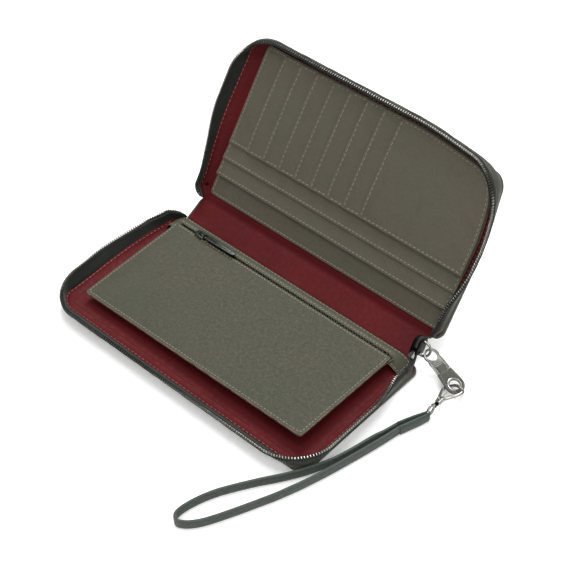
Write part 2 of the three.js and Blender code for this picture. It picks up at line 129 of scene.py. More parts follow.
def book(points):
    """Book coordinates in millimetres to the row frame in metres."""
    shape = np.shape(points)
    p = np.asarray(points, float).reshape(-1, 3)
    near, far = ((p[:, 1] - at + BEND) / (2 * BEND) for at in (0.0, SPINE))
    p = turned(p, smooth(far), SPINE, ANGLE)
    p = turned(p, smooth(near), 0.0, ANGLE)
    return ((p + [0, FOLD[1], 0]) * MM).reshape(shape)


def on_half(half, points):
    """Half coordinates, with v outwards from the fold, to book coordinates."""
    p = np.array(points, float)
    u, v, w = (p[..., k] for k in range(3))
    if half == "lower":
        # the wall at the stops' end bellies outwards
        belly = np.interp(v, BELLY_V, BELLY) * np.clip((w - 2) / 8.8, 0, 1.2) * smooth((-u - 70) / 18)
        return np.stack([u - belly, -v, w + 0.14 * belly], -1)
    # the upper half's free end is pulled a little longer, and in at the slider's corner
    longer = 4.8 - 4.2 * smooth((w - 6) / 5) - 4.5 * smooth((u - 30) / 60)
    drawn_in = 5 * smooth((v - 55) / 45) * smooth((u - 60) / 35)
    return np.stack([u - drawn_in, SPINE + v + smooth((v - 50) / 50) * longer, w], -1)


def leaf(points):
    """Coin leaf coordinates, with y forwards from its hinge, to the row frame in metres."""
    p = np.array(points, float)
    x, y = p[..., 0], p[..., 1]
    across = np.clip((COIN[1] - x) / (COIN[1] - COIN[0]), 0, 1)
    z = p[..., 2] - LEAF_DROOP * across * np.clip(y / COIN[3], 0, 1) ** 1.3
    c, s = math.cos(LEAF_TILT), math.sin(LEAF_TILT)
    return np.stack([x + LEAF[0], LEAF[1] - (y * c - z * s), LEAF[2] + y * s + z * c], -1) * MM


def ripple(points, seed, size):
    """Smooth pseudo-random values from -1 to 1 with features of about that size."""
    rng = np.random.default_rng(seed)
    p = np.asarray(points, float).reshape(-1, np.shape(points)[-1])
    total = np.zeros(len(p))
    for _ in range(7):
        direction = unit(rng.normal(size=p.shape[1]))
        total += np.sin(p @ direction * (2 * np.pi / (size * rng.uniform(0.7, 1.8))) + rng.uniform(0, 6.28))
    return (total / 4).reshape(np.shape(points)[:-1])


# ---- camera ----
def add_camera():
    azimuth, elevation, roll = (math.radians(a) for a in (43.14, 45.16, -1.37))
    forward = Vector((
        -math.sin(azimuth) * math.cos(elevation),
        math.cos(azimuth) * math.cos(elevation),
        -math.sin(elevation),
    ))
    right = forward.cross(Vector((0, 0, 1))).normalized()
    up = right.cross(forward)
    right, up = (
        right * math.cos(roll) + up * math.sin(roll),
        up * math.cos(roll) - right * math.sin(roll),
    )
    data = bpy.data.cameras.new("camera")
    data.lens, data.sensor_width = 96.73, 36
    data.clip_start, data.clip_end = 0.01, 20
    camera = bpy.data.objects.new("camera", data)
    camera.matrix_world = Matrix((right, up, -forward)).transposed().to_4x4()
    camera.location = (0.4259, -0.4119, 0.6367)
    bpy.context.scene.collection.objects.link(camera)
    bpy.context.scene.camera = camera


add_camera()


# ---- materials ----
def linear(r, g, b):
    """An sRGB colour from 0 to 255 as the linear colour that a shader takes."""
    return tuple(
        (c / 255 / 12.92 if c / 255 <= 0.04045 else ((c / 255 + 0.055) / 1.055) ** 2.4) for c in (r, g, b)
    ) + (1.0,)


class Surface:
    """A material under construction. Patterns run in millimetres of the piece's flat attribute."""

    def __init__(self, name, roughness=0.6, metallic=0.0, coordinates="flat"):
        self.material = bpy.data.materials.new(name)
        self.material.use_nodes = True
        self.tree = self.material.node_tree
        self.shader = self.tree.nodes["Principled BSDF"]
        self.shader.inputs["Roughness"].default_value = roughness
        self.shader.inputs["Metallic"].default_value = metallic
        if coordinates == "flat":
            source = self.node("ShaderNodeAttribute", attribute_name="flat").outputs["Vector"]
        else:
            source = self.node("ShaderNodeTexCoord").outputs["Object"]
        scaled = self.node("ShaderNodeVectorMath", {0: source, "Scale": 1 / MM}, operation="SCALE")
        self.mm = scaled.outputs["Vector"]
        self.normal = None

    def node(self, kind, inputs=None, **settings):
        node = self.tree.nodes.new(kind)
        for key, value in settings.items():
            setattr(node, key, value)
        for key, value in (inputs or {}).items():
            self.put(node.inputs[key], value)
        return node

    def put(self, socket, value):
        if isinstance(value, bpy.types.NodeSocket):
            self.tree.links.new(value, socket)
        else:
            socket.default_value = value

    def stretch(self, x, y, z):
        inputs = {0: self.mm, 1: (x, y, z)}
        return self.node("ShaderNodeVectorMath", inputs, operation="MULTIPLY").outputs["Vector"]

    def noise(self, per_mm, detail=2.0, roughness=0.5, vector=None):
        inputs = {"Vector": vector or self.mm, "Scale": per_mm, "Detail": detail, "Roughness": roughness}
        return self.node("ShaderNodeTexNoise", inputs).outputs["Fac"]

    def cell_edges(self, per_mm):
        inputs = {"Vector": self.mm, "Scale": per_mm}
        return self.node("ShaderNodeTexVoronoi", inputs, feature="DISTANCE_TO_EDGE").outputs["Distance"]

    def bands(self, period, direction, profile="SIN", distortion=0.0):
        inputs = {"Vector": self.mm, "Scale": math.tau / 20 / period, "Distortion": distortion, "Detail": 0.0}
        node = self.node(
            "ShaderNodeTexWave", inputs, wave_type="BANDS", bands_direction=direction, wave_profile=profile,
        )
        return node.outputs["Fac"]

    def between(self, value, low, high, to_low=0.0, to_high=1.0):
        inputs = {"Value": value, "From Min": low, "From Max": high, "To Min": to_low, "To Max": to_high}
        return self.node("ShaderNodeMapRange", inputs, interpolation_type="SMOOTHSTEP").outputs["Result"]

    def sum(self, a, b, operation="ADD"):
        return self.node("ShaderNodeMath", {0: a, 1: b}, operation=operation).outputs[0]

    def mix(self, factor, a, b):
        return self.node("ShaderNodeMix", {0: factor, 6: a, 7: b}, data_type="RGBA").outputs[2]

    def bump(self, height, depth):
        """Adds relief, depth in millimetres."""
        node = self.node("ShaderNodeBump", {"Height": height, "Strength": 1.0, "Distance": depth * MM})
        if self.normal:
            self.put(node.inputs["Normal"], self.normal)
        self.normal = node.outputs["Normal"]

    def finish(self, colour, roughness=None, **fixed):
        self.put(self.shader.inputs["Base Color"], colour)
        if roughness is not None:
            self.put(self.shader.inputs["Roughness"], roughness)
        if self.normal:
            self.put(self.shader.inputs["Normal"], self.normal)
        for key, value in fixed.items():
            self.shader.inputs[key.replace("_", " ")].default_value = value
        return self.material


def leather(name, main, warm, dark, edge, grain=1.5, relief=0.05, coordinates="flat", shine=0.42, sheen=0.06):
    """Fine-grained faux leather: mottled colour, pebbled relief, darker valleys and lighter worn edges."""
    s = Surface(name, coordinates=coordinates)
    patches = s.between(s.noise(0.022, 3.0, 0.55), 0.36, 0.66)
    colour = s.mix(patches, linear(*main), linear(*warm))
    smudge = s.between(s.noise(0.11, 4.0, 0.6), 0.45, 0.8, 0.0, 0.22)
    colour = s.mix(smudge, colour, linear(*dark))
    valleys = s.cell_edges(grain)
    colour = s.mix(s.between(valleys, 0.0, 0.13, 0.34, 0.0), colour, linear(*dark))
    wear = s.node("ShaderNodeAttribute", attribute_name="wear").outputs["Fac"]
    worn = s.sum(wear, s.between(s.noise(0.9, 3.0, 0.6), 0.35, 0.7, 0.25, 1.0), "MULTIPLY")
    colour = s.mix(worn, colour, linear(*edge))
    s.bump(s.between(valleys, 0.0, 0.22), relief)
    s.bump(s.noise(grain * 2.6, 3.0, 0.6), relief * 0.5)
    s.bump(s.noise(0.12, 2.0), relief * 2.5)
    rough = s.between(s.noise(0.5, 3.0, 0.6), 0.3, 0.7, 0.5, 0.68)
    return s.finish(colour, rough, Specular_IOR_Level=shine, Sheen_Weight=sheen)


def woven(name, main, light, dark):
    """Tightly woven lining cloth."""
    s = Surface(name)
    thread_width = 0.42
    warp = s.bands(thread_width, "X", distortion=0.25)
    weft = s.bands(thread_width, "Y", distortion=0.25)
    weave = s.sum(warp, weft, "MULTIPLY")
    tone = s.between(s.noise(0.03, 3.0, 0.55), 0.35, 0.7)
    colour = s.mix(tone, linear(*main), linear(*light))
    colour = s.mix(s.between(weave, 0.0, 0.5, 0.28, 0.0), colour, linear(*dark))
    slub = s.noise(0.7, 2.0, vector=s.stretch(0.12, 2.2, 1.0))
    colour = s.mix(s.between(slub, 0.5, 0.8, 0.0, 0.2), colour, linear(*light))
    s.bump(weave, 0.03)
    s.bump(s.noise(0.16, 2.0), 0.12)
    rough = s.between(s.noise(0.4, 3.0), 0.3, 0.7, 0.62, 0.8)
    return s.finish(colour, rough, Specular_IOR_Level=0.18)


def ribbed(name, main, light, dark):
    """Zip tape: fine ribs along the zip, with a herringbone of short steps across them."""
    s = Surface(name)
    ribs = s.bands(0.9, "Y", distortion=0.15)
    steps = s.bands(0.6, "DIAGONAL", profile="TRI")
    relief = s.sum(ribs, s.sum(steps, 0.5, "MULTIPLY"))
    tone = s.between(s.noise(0.06, 3.0), 0.35, 0.7)
    colour = s.mix(tone, linear(*main), linear(*light))
    colour = s.mix(s.between(relief, 0.0, 0.7, 0.5, 0.0), colour, linear(*dark))
    s.bump(relief, 0.06)
    rough = s.between(s.noise(0.5, 2.0), 0.3, 0.7, 0.62, 0.82)
    return s.finish(colour, rough, Sheen_Weight=0.1, Sheen_Roughness=0.45, Specular_IOR_Level=0.2)


def metal(name, main, dark, roughness):
    """Plated zinc: faint cloudiness, fine scratches, darker in the hollows."""
    s = Surface(name, metallic=1.0)
    cloud = s.between(s.noise(0.35, 4.0, 0.6), 0.35, 0.7)
    lines = s.noise(1.0, 3.0, 0.6, vector=s.stretch(0.4, 6.0, 2.0))
    colour = s.mix(s.sum(cloud, 0.35, "MULTIPLY"), linear(*main), linear(*dark))
    colour = s.mix(s.between(lines, 0.58, 0.75, 0.0, 0.5), colour, linear(*dark))
    s.bump(lines, 0.012)
    s.bump(s.noise(0.5, 2.0), 0.02)
    rough = s.between(s.noise(1.4, 3.0, 0.6), 0.3, 0.7, *roughness)
    rough = s.sum(rough, s.between(lines, 0.5, 0.8, 0.0, 0.12))
    return s.finish(colour, rough, Specular_IOR_Level=0.5)


def thread(name, main, dark):
    """Twisted sewing thread: the twist runs slantwise round each stitch."""
    s = Surface(name)
    twist = s.bands(0.35, "DIAGONAL")
    fuzz = s.noise(2.5, 2.0)
    colour = s.mix(s.between(twist, 0.1, 0.7, 0.55, 0.0), linear(*main), linear(*dark))
    colour = s.mix(s.between(fuzz, 0.5, 0.8, 0.0, 0.3), colour, linear(*dark))
    s.bump(twist, 0.03)
    return s.finish(colour, s.between(fuzz, 0.3, 0.7, 0.55, 0.8), Sheen_Weight=0.3)


def raw_edge(name, main, dark):
    """Cut leather edge: layered fibres with a dab of edge paint."""
    s = Surface(name)
    layers = s.noise(1.2, 3.0, 0.6, vector=s.stretch(0.15, 0.15, 5.0))
    colour = s.mix(s.between(layers, 0.4, 0.65), linear(*main), linear(*dark))
    s.bump(layers, 0.04)
    return s.finish(colour, s.between(s.noise(0.8, 3.0), 0.3, 0.7, 0.6, 0.85), Specular_IOR_Level=0.3)


OLIVE = leather(
    "olive_leather", (57, 58, 43), (61, 58, 44), (36, 37, 27), (90, 85, 66), shine=0.3, sheen=0.0,
)
OLIVE_INSIDE = leather("olive_leather_inside", (79, 76, 62), (82, 75, 62), (48, 47, 38), (112, 106, 90))
OLIVE_OUTSIDE = leather("olive_leather_outside", (58, 60, 50), (61, 60, 50), (34, 36, 30), (84, 83, 70))
STRAP = leather(
    "strap_leather", (52, 62, 54), (46, 56, 49), (20, 26, 22), (84, 93, 86), grain=0.8, relief=0.13,
)
PULLER = leather("puller_leather", (70, 71, 63), (64, 65, 57), (30, 31, 26), (100, 99, 89), grain=1.6)
BOARD = leather(
    "stiffener_board", (154, 143, 124), (146, 134, 114), (118, 108, 90), (170, 160, 140),
    coordinates="object",
)
RED = woven("red_lining", (77, 10, 14), (86, 13, 17), (40, 4, 6))
TAPE = ribbed("black_zip_tape", (25, 27, 23), (33, 36, 30), (10, 11, 9))
NICKEL = metal("dark_nickel", (122, 121, 115), (56, 56, 52), (0.24, 0.4))
SILVER = metal("silver_metal", (150, 150, 145), (66, 66, 63), (0.16, 0.3))
GUNMETAL = metal("gunmetal", (42, 44, 41), (19, 20, 18), (0.24, 0.42))
BLACK_METAL = metal("black_nickel", (19, 20, 18), (9, 9, 8), (0.34, 0.5))
OLIVE_THREAD = thread("olive_thread", (136, 130, 109), (84, 79, 64))
RED_THREAD = thread("red_thread", (158, 92, 90), (100, 46, 47))
DARK_THREAD = thread("dark_thread", (66, 72, 64), (30, 34, 30))
CUT_EDGE = raw_edge("cut_leather_edge", (132, 114, 100), (88, 72, 60))


# ---- meshes ----
MERGE = 0.004  # points of one piece that lie closer than this are one point


class Piece:
    """Gathers patches of points, in row-frame metres, into one named mesh. Flat points are millimetres."""

    def __init__(self, name):
        self.name = name
        self.points, self.flat, self.wear = [], [], []
        self.faces, self.slots, self.materials = [], [], []
        self.count = 0

    def add(self, points, faces, material, flat=None, wear=None):
        points = np.asarray(points, float).reshape(-1, 3)
        flat = points / MM if flat is None else np.asarray(flat, float).reshape(-1, 3)
        wear = np.zeros(len(points)) if wear is None else np.reshape(wear, -1)
        if material not in self.materials:
            self.materials.append(material)
        self.points.append(points)
        self.flat.append(flat)
        self.wear.append(wear)
        self.faces.extend(tuple(int(i) + self.count for i in face) for face in faces)
        self.slots.extend([self.materials.index(material)] * len(faces))
        self.count += len(points)

    def grid(self, points, material, flat=None, wear=None, around=False, along=False):
        """points[i][j]; around closes the second direction on itself, along the first."""
        rows, columns = np.shape(points)[:2]
        faces = []
        for i in range(rows if along else rows - 1):
            for j in range(columns if around else columns - 1):
                i2, j2 = (i + 1) % rows, (j + 1) % columns
                faces.append((i * columns + j, i * columns + j2, i2 * columns + j2, i2 * columns + j))
        self.add(points, faces, material, flat, wear)

    def tube(self, rings, material, flat=None, wear=None):
        """A closed tube through rings[i][j] with flat ends."""
        self.grid(rings, material, flat, wear, around=True)
        for end, order in ((0, -1), (-1, 1)):
            around = tuple(range(len(rings[end])))[::order]
            self.add(rings[end], [around], material, None if flat is None else flat[end])

    def build(self, body, *nodes, merge=MERGE):
        """The piece as an object that rides on body and stands for the CAD nodes."""
        mesh = bpy.data.meshes.new(self.name)
        points = np.concatenate(self.points)
        mesh.from_pydata(points.tolist(), [], self.faces)
        mesh.polygons.foreach_set("material_index", self.slots)
        for material in self.materials:
            mesh.materials.append(material)
        flat = mesh.attributes.new("flat", "FLOAT_VECTOR", "POINT")
        flat.data.foreach_set("vector", (np.concatenate(self.flat) * MM).ravel())
        wear = mesh.attributes.new("wear", "FLOAT", "POINT")
        wear.data.foreach_set("value", np.concatenate(self.wear))
        work = bmesh.new()
        work.from_mesh(mesh)
        if merge:
            bmesh.ops.remove_doubles(work, verts=work.verts, dist=merge * MM)
        bmesh.ops.recalc_face_normals(work, faces=work.faces)
        work.to_mesh(mesh)
        work.free()
        mesh.shade_smooth()
        mesh.validate()
        piece = bpy.data.objects.new(self.name, mesh)
        bpy.context.scene.collection.objects.link(piece)
        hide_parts(*nodes)
        if body:
            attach(piece, body)
        return piece


def sharpen(piece):
    """Keeps creases crisp under smooth shading."""
    piece.data.set_sharp_from_angle(angle=math.radians(50))


def sections(path, outline, normals):
    """Rings of a 2-D outline (sideways, upwards) swept along path, upwards being the given normals."""
    ahead = np.vstack([path[1:], 2 * path[-1:] - path[-2:-1]])
    behind = np.vstack([2 * path[:1] - path[1:2], path[:-1]])
    along = unit(ahead - behind)
    side = unit(np.cross(along, normals))
    up = np.cross(side, along)
    return path[:, None] + side[:, None] * outline[None, :, :1] + up[:, None] * outline[None, :, 1:]


def circle(radius, count):
    angles = np.arange(count) * 2 * np.pi / count
    return np.stack([np.cos(angles) * radius, np.sin(angles) * radius], 1)


def resample(path, count):
    path = np.asarray(path, float)
    lengths = run_length(path)
    places = np.linspace(0, lengths[-1], count)
    return at_length(places, lengths, path)


def curve_through(points, count):
    """A Catmull-Rom curve through the points, evenly spaced."""
    p = np.asarray(points, float)
    p = np.vstack([2 * p[0] - p[1], p, 2 * p[-1] - p[-2]])
    t = np.linspace(0, 1, 24, endpoint=False)[:, None]
    parts = [
        0.5 * (2 * b + (c - a) * t + (2 * a - 5 * b + 4 * c - d) * t**2 + (3 * b - a - 3 * c + d) * t**3)
        for a, b, c, d in zip(p, p[1:], p[2:], p[3:])
    ]
    return resample(np.vstack(parts + [p[-2:-1]]), count)


STITCH_RING = circle(1.0, 6)


def stitches(piece, path, normals, material, pitch=2.6, length=1.85, radius=0.21, raise_by=0.05):
    """A row of raised stitches along a path, in row-frame metres, on a surface with those normals."""
    path = np.asarray(path, float) / MM
    normals = np.broadcast_to(np.asarray(normals, float), path.shape)
    lengths = run_length(path)
    total = float(lengths[-1])
    count = max(1, int(total / pitch))
    # along, thickness, height
    profile = np.array([
        (-0.5, 0.0, -0.9), (-0.42, 0.75, -0.25), (-0.2, 1.0, 0.1),
        (0.2, 1.0, 0.1), (0.42, 0.75, -0.25), (0.5, 0.0, -0.9),
    ])
    for k in range(count):
        middle = (k + 0.5) * total / count
        at = np.clip(middle + profile[:, 0] * length, 0, total)
        centre = at_length(at, lengths, path)
        up = unit(at_length(at, lengths, normals))
        along = unit(centre[-1] - centre[0])
        side = unit(np.cross(along, up))
        thick = profile[:, 1, None, None] * radius + 0.02
        rings = (
            centre[:, None]
            + up[:, None] * (profile[:, 2, None, None] * radius + raise_by)
            + side[:, None] * (STITCH_RING[None, :, :1] * thick)
            + up[:, None] * (STITCH_RING[None, :, 1:] * thick)
        )
        flat = flats(rings.shape, (at - middle)[:, None] + k * 1.37, np.arange(6) * radius)
        piece.grid(rings * MM, material, flat, around=True)


def blended(piece, first, second, where):
    """Bakes the piece's transform into its mesh, without bending it; where, a book t coordinate, is not used.
    """
    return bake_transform(piece)


# ---- outlines and plates ----
class Outline:
    """A rounded rectangle with corner radii at (u0, v0), (u1, v0), (u1, v1), (u0, v1)."""

    def __init__(self, u0, u1, v0, v1, radii=(0, 0, 0, 0)):
        self.u0, self.u1, self.v0, self.v1, self.radii = u0, u1, v0, v1, radii
        self.near_open = False

    def corners(self):
        signs = ((-1, -1), (1, -1), (1, 1), (-1, 1))
        for (a, b), r in zip(signs, self.radii):
            yield a, b, r, (self.u1 - r if a > 0 else self.u0 + r), (self.v1 - r if b > 0 else self.v0 + r)

    def left(self, v):
        return self.side(v, -1, self.u0)

    def right(self, v):
        return self.side(v, 1, self.u1)

    def side(self, v, sign, straight):
        u = np.full(np.shape(v), float(straight))
        for a, b, r, cu, cv in self.corners():
            if a == sign and r > 0:
                beyond = np.clip((v - cv) * b, 0, r)
                u = np.where(beyond > 0, cu + a * np.sqrt(r * r - beyond**2), u)
        return u

    def depth(self, u, v):
        d = np.minimum(np.minimum(u - self.left(v), self.right(v) - u), self.v1 - v)
        if not self.near_open:
            d = np.minimum(d, v - self.v0)
        for a, b, r, cu, cv in self.corners():
            if r > 0 and not (self.near_open and b < 0):
                beyond_u, beyond_v = (u - cu) * a, (v - cv) * b
                inside = (beyond_u > 0) & (beyond_v > 0)
                d = np.where(inside, r - np.hypot(np.maximum(beyond_u, 0), np.maximum(beyond_v, 0)), d)
        return np.maximum(d, 0)

    def rows(self, edge, step):
        values = [self.v0, self.v1]
        values += [self.v0 + e for e in edge] if not self.near_open else []
        values += [self.v1 - e for e in edge]
        for _, b, r, _, cv in self.corners():
            values += [cv + b * r * math.sin(math.radians(a)) for a in range(0, 90, 12)] if r > 0 else []
        values += list(np.linspace(self.v0, self.v1, max(2, int((self.v1 - self.v0) / step) + 1)))
        values = sorted(v for v in values if self.v0 <= v <= self.v1)
        kept = [values[0]]
        for v in values[1:]:
            if v - kept[-1] > 0.04:
                kept.append(v)
        kept[-1] = self.v1
        return np.array(kept)


class CoverOutline(Outline):
    """One cover and its half of the spine, whose v is below 0."""

    def __init__(self, inset=0.0):
        r = 9 - inset
        super().__init__(-COVER_X + inset, COVER_X - inset, -SPINE / 2, COVER_V - inset, (0, 0, r, r))
        self.inset = inset
        self.near_open = True

    def narrowing(self, v, spine, cover):
        """From the cover's rounded fold corner to the spine's edge."""
        corner = 6.0
        arc = cover - corner + np.sqrt(np.maximum(corner**2 - np.clip(corner - v, 0, corner) ** 2, 0))
        neck = lerp(spine, cover - corner, smooth((v + 2.5) / 2.5))
        return np.where(v >= 0, arc, neck)

    def left(self, v):
        return np.where(v > 6, super().left(v), -self.narrowing(v, -SPINE_LEFT - self.inset, -self.u0))

    def right(self, v):
        return np.where(v > 6, super().right(v), self.narrowing(v, SPINE_RIGHT - self.inset, self.u1))

    def rows(self, edge, step):
        near = np.linspace(-5, 8, 27)
        return np.array(sorted(set(np.round(np.r_[super().rows(edge, step), near], 3))))


def slab(piece, outline, top, thickness, material, place, edge=None, step=4.0, radius=None, worn=0.6):
    """A plate with rounded edges. top(u, v) is its upper face, and place maps (u, v, w) to metres."""
    r = radius or thickness / 2
    close = [0.0, 0.13 * r, 0.5 * r, r, max(1.6 * r, r + 0.5), r + 1.6]
    v = outline.rows(close[1:], step)
    left, right = outline.left(v), outline.right(v)
    middle = np.linspace(0, 1, max(2, int((outline.u1 - outline.u0) / step)) + 1)[1:-1]
    narrow = np.minimum(1, (right - left) / (2.2 * close[-1]))[:, None]
    start = left[:, None] + np.array(close)[None, :] * narrow
    end = right[:, None] - np.array(close[::-1])[None, :] * narrow
    centre = start[:, -1:] + (end[:, :1] - start[:, -1:]) * middle[None, :]
    u = np.hstack([start, centre, end])
    v = np.broadcast_to(v[:, None], u.shape)
    d = outline.depth(u, v)
    d[:, 0] = d[:, -1] = 0
    short = r - np.minimum(d, r)
    drop = r - np.sqrt(np.maximum(r * r - short**2, 0))
    face = top(u, v)
    upper = np.stack([u, v, face - drop], -1)
    lower = np.stack([u, v, face - thickness + drop * (thickness / r - 1)], -1)
    rows, columns = u.shape
    wear = worn * np.exp(-((d / 0.7) ** 2))
    corner = d[:-1, :-1] + d[1:, :-1] + d[:-1, 1:] + d[1:, 1:]
    on_edge = (corner / 4 < 0.45 * r).ravel() if edge else np.zeros((rows - 1) * (columns - 1), bool)
    index = np.arange(rows * columns).reshape(rows, columns)
    quads = np.stack([index[:-1, :-1], index[:-1, 1:], index[1:, 1:], index[1:, :-1]], -1).reshape(-1, 4)
    for points, flip in ((upper, False), (lower, True)):
        flat = np.stack([u, v, np.full(u.shape, 3 * flip)], -1)
        for chosen, surface in ((~on_edge, material), (on_edge, edge)):
            if chosen.any():
                faces = quads[chosen][:, ::-1] if flip else quads[chosen]
                piece.add(place(points), faces, surface, flat, wear)


def in_half(half):
    return lambda points: book(on_half(half, points))


def half_direction(half, vectors):
    """Directions in half coordinates to directions in the row frame."""
    d = np.array(vectors, float)
    if half == "lower":
        return d * [1, -1, 1]
    c, s = math.cos(2 * ANGLE), math.sin(2 * ANGLE)
    return np.stack([d[..., 0], d[..., 1] * c - d[..., 2] * s, d[..., 1] * s + d[..., 2] * c], -1)


def half_normal(half):
    return half_direction(half, (0, 0, 1))


def filleted(points, radii, steps=8):
    """An open polyline through 2-D points whose inner corners are rounded to the given radii."""
    p = np.asarray(points, float)
    out = [p[0]]
    for before, at, after, r in zip(p, p[1:], p[2:], radii):
        if r <= 0:
            out.append(at)
            continue
        a, b = unit(before - at), unit(after - at)
        angle = math.acos(float(np.clip(a @ b, -1, 1)))
        reach = r / math.tan(angle / 2)
        for t in np.linspace(0, 1, steps):
            out.append(at + a * reach * (1 - t) ** 2 + b * reach * t**2)
    out.append(p[-1])
    return np.array(out)


def seam(piece, half, path, height, material, **options):
    """Stitches along (u, v) points of a half, on a face whose height may vary."""
    path = resample(path, max(8, int(np.abs(np.diff(path, axis=0)).sum() / 2)))
    w = height(path[:, 0], path[:, 1]) if callable(height) else np.full(len(path), float(height))
    stitches(piece, in_half(half)(np.column_stack([path, w])), half_normal(half), material, **options)


# ---- strap, the one free cord ----
STRAP_ROUTE = [
    (111.3, -41.5), (109.3, -49.8), (107.6, -55), (105.6, -64.5), (103.5, -73.5), (101.1, -82),
    (97.9, -89.6), (94.5, -96.6), (90.5, -103.4), (86.2, -110), (81.8, -116.4), (77.7, -122.9),
    (73.7, -129.5), (69.9, -136.2), (66.8, -143.6), (64.5, -151.6), (63.7, -158.1), (64.7, -161.7),
    (67.8, -163.2), (71.7, -161.2), (74.6, -158.3), (77.6, -154.2), (81.1, -147.7), (84.4, -140.6),
    (87.6, -133.5), (90.8, -126.1), (93.9, -118.9), (96.8, -111), (99.5, -103), (102, -94.7),
    (104.3, -86.3), (106.5, -77.2), (108.7, -68.1), (110.7, -59.1), (111.9, -53), (113.8, -42.2),
]
STRAP_Z = 3.1
UP = np.array([0.0, 0.0, 1.0])


def band_outline(thickness, height):
    """A leather strap's section on edge: x across, y up, with soft edges and slightly bowed faces."""
    h, t, radius = height / 2, thickness / 2, 0.42
    points = []
    for sx, sy, start, bowed in (
        (1, 1, 0, [(0, h)]),
        (-1, 1, 90, [(-t - 0.08, y) for y in (h / 2, 0, -h / 2)]),
        (-1, -1, 180, [(0, -h)]),
        (1, -1, 270, [(t + 0.08, y) for y in (-h / 2, 0, h / 2)]),
    ):
        for a in (0, 30, 60, 90):
            c, s = math.cos(math.radians(start + a)), math.sin(math.radians(start + a))
            points.append((sx * (t - radius) + radius * c, sy * (h - radius) + radius * s))
        points += bowed
    return np.array(points)


def strap():
    path = curve_through([(x, y + FOLD[1], STRAP_Z) for x, y in STRAP_ROUTE], 240)
    outline = band_outline(1.5, 5.9)
    rings = sections(path, outline, UP)
    length = run_length(path)
    along = np.broadcast_to(length[:, None], rings.shape[:2])
    rings[..., 2] += 0.1 * ripple(np.stack([along, along * 0.3], -1), 3, 26)
    edge = np.exp(-((np.abs(np.abs(outline[:, 1]) - 2.8) / 0.45) ** 2)) * (np.abs(outline[:, 0]) > 0.3)
    piece = Piece("wrist_strap_band")
    flat = flats(rings.shape, along, run_length(outline))
    piece.tube(rings * MM, STRAP, flat, np.broadcast_to(0.55 * edge, rings.shape[:2]))
    return piece.build("wrist_strap", "wrist_strap", merge=0), path * MM, float(length[-1]) * MM


strap_piece, strap_path, strap_length = strap()


# ---- covers and lining ----
def plain(level, seed=0, depth=0.0, size=20.0):
    """A face at one level, with gentle waves of that depth."""
    return lambda u, v: level + depth * ripple(np.stack([u, v], -1), seed, size)


def covers():
    inner = CoverOutline(1.9)
    for half, joins, fold, seed, more in (
        ("lower", ("lower_half", "spine"), 0.0, 11, True),
        ("upper", ("spine", "upper_half"), SPINE, 12, False),
    ):
        def floor(u, v, seed=seed):
            soft = smooth(inner.depth(u, v) / 6)
            wave = ripple(np.stack([u, v * 1.3], -1), seed, 24)
            fine = ripple(np.stack([u * 1.2, v], -1), seed + 20, 7)
            crease = np.exp(-(((v - 1.5) / 2.2) ** 2)) + np.exp(-(((v + 3.5) / 2.5) ** 2))
            return FLOOR_W + soft * (0.10 * wave + 0.03 * fine) + 0.10 * crease * wave

        for name, node, outline, top, thickness, material, step, worn in (
            ("cover_skin", "leather", CoverOutline(), plain(2.4), 2.4, OLIVE_OUTSIDE, 5, 0.75),
            ("floor_lining", "lining", inner, floor, 0.4, RED, 2.6, 0),
        ):
            piece = Piece(half + "_" + name)
            slab(piece, outline, top, thickness, material, in_half(half), step=step, worn=worn)
            nodes = [half + "_cover_" + node] + (["spine_" + node] if more else [])
            blended(piece.build(None, *nodes), *joins, fold)


def boards():
    for name, node, body, place, outline, step in (
        ("upper_board", "upper_cover_board", "upper_half", in_half("upper"),
         Outline(-91.8, 91.8, 1.4, 95.3, (0, 0, 6, 6)), 6),
        ("spine_stiffener", "spine_board", "spine", book, Outline(-87.5, 83.4, 1.6, 16.0, (1, 1, 1, 1)), 4),
    ):
        piece = Piece(name)
        slab(piece, outline, plain(2.28), 1.06, BOARD, place, step=step, worn=0, radius=0.2)
        piece.build(body, node)
    lower = bpy.data.objects["lower_cover_board"].data
    lower.materials.clear()
    lower.materials.append(BOARD)


covers()
boards()


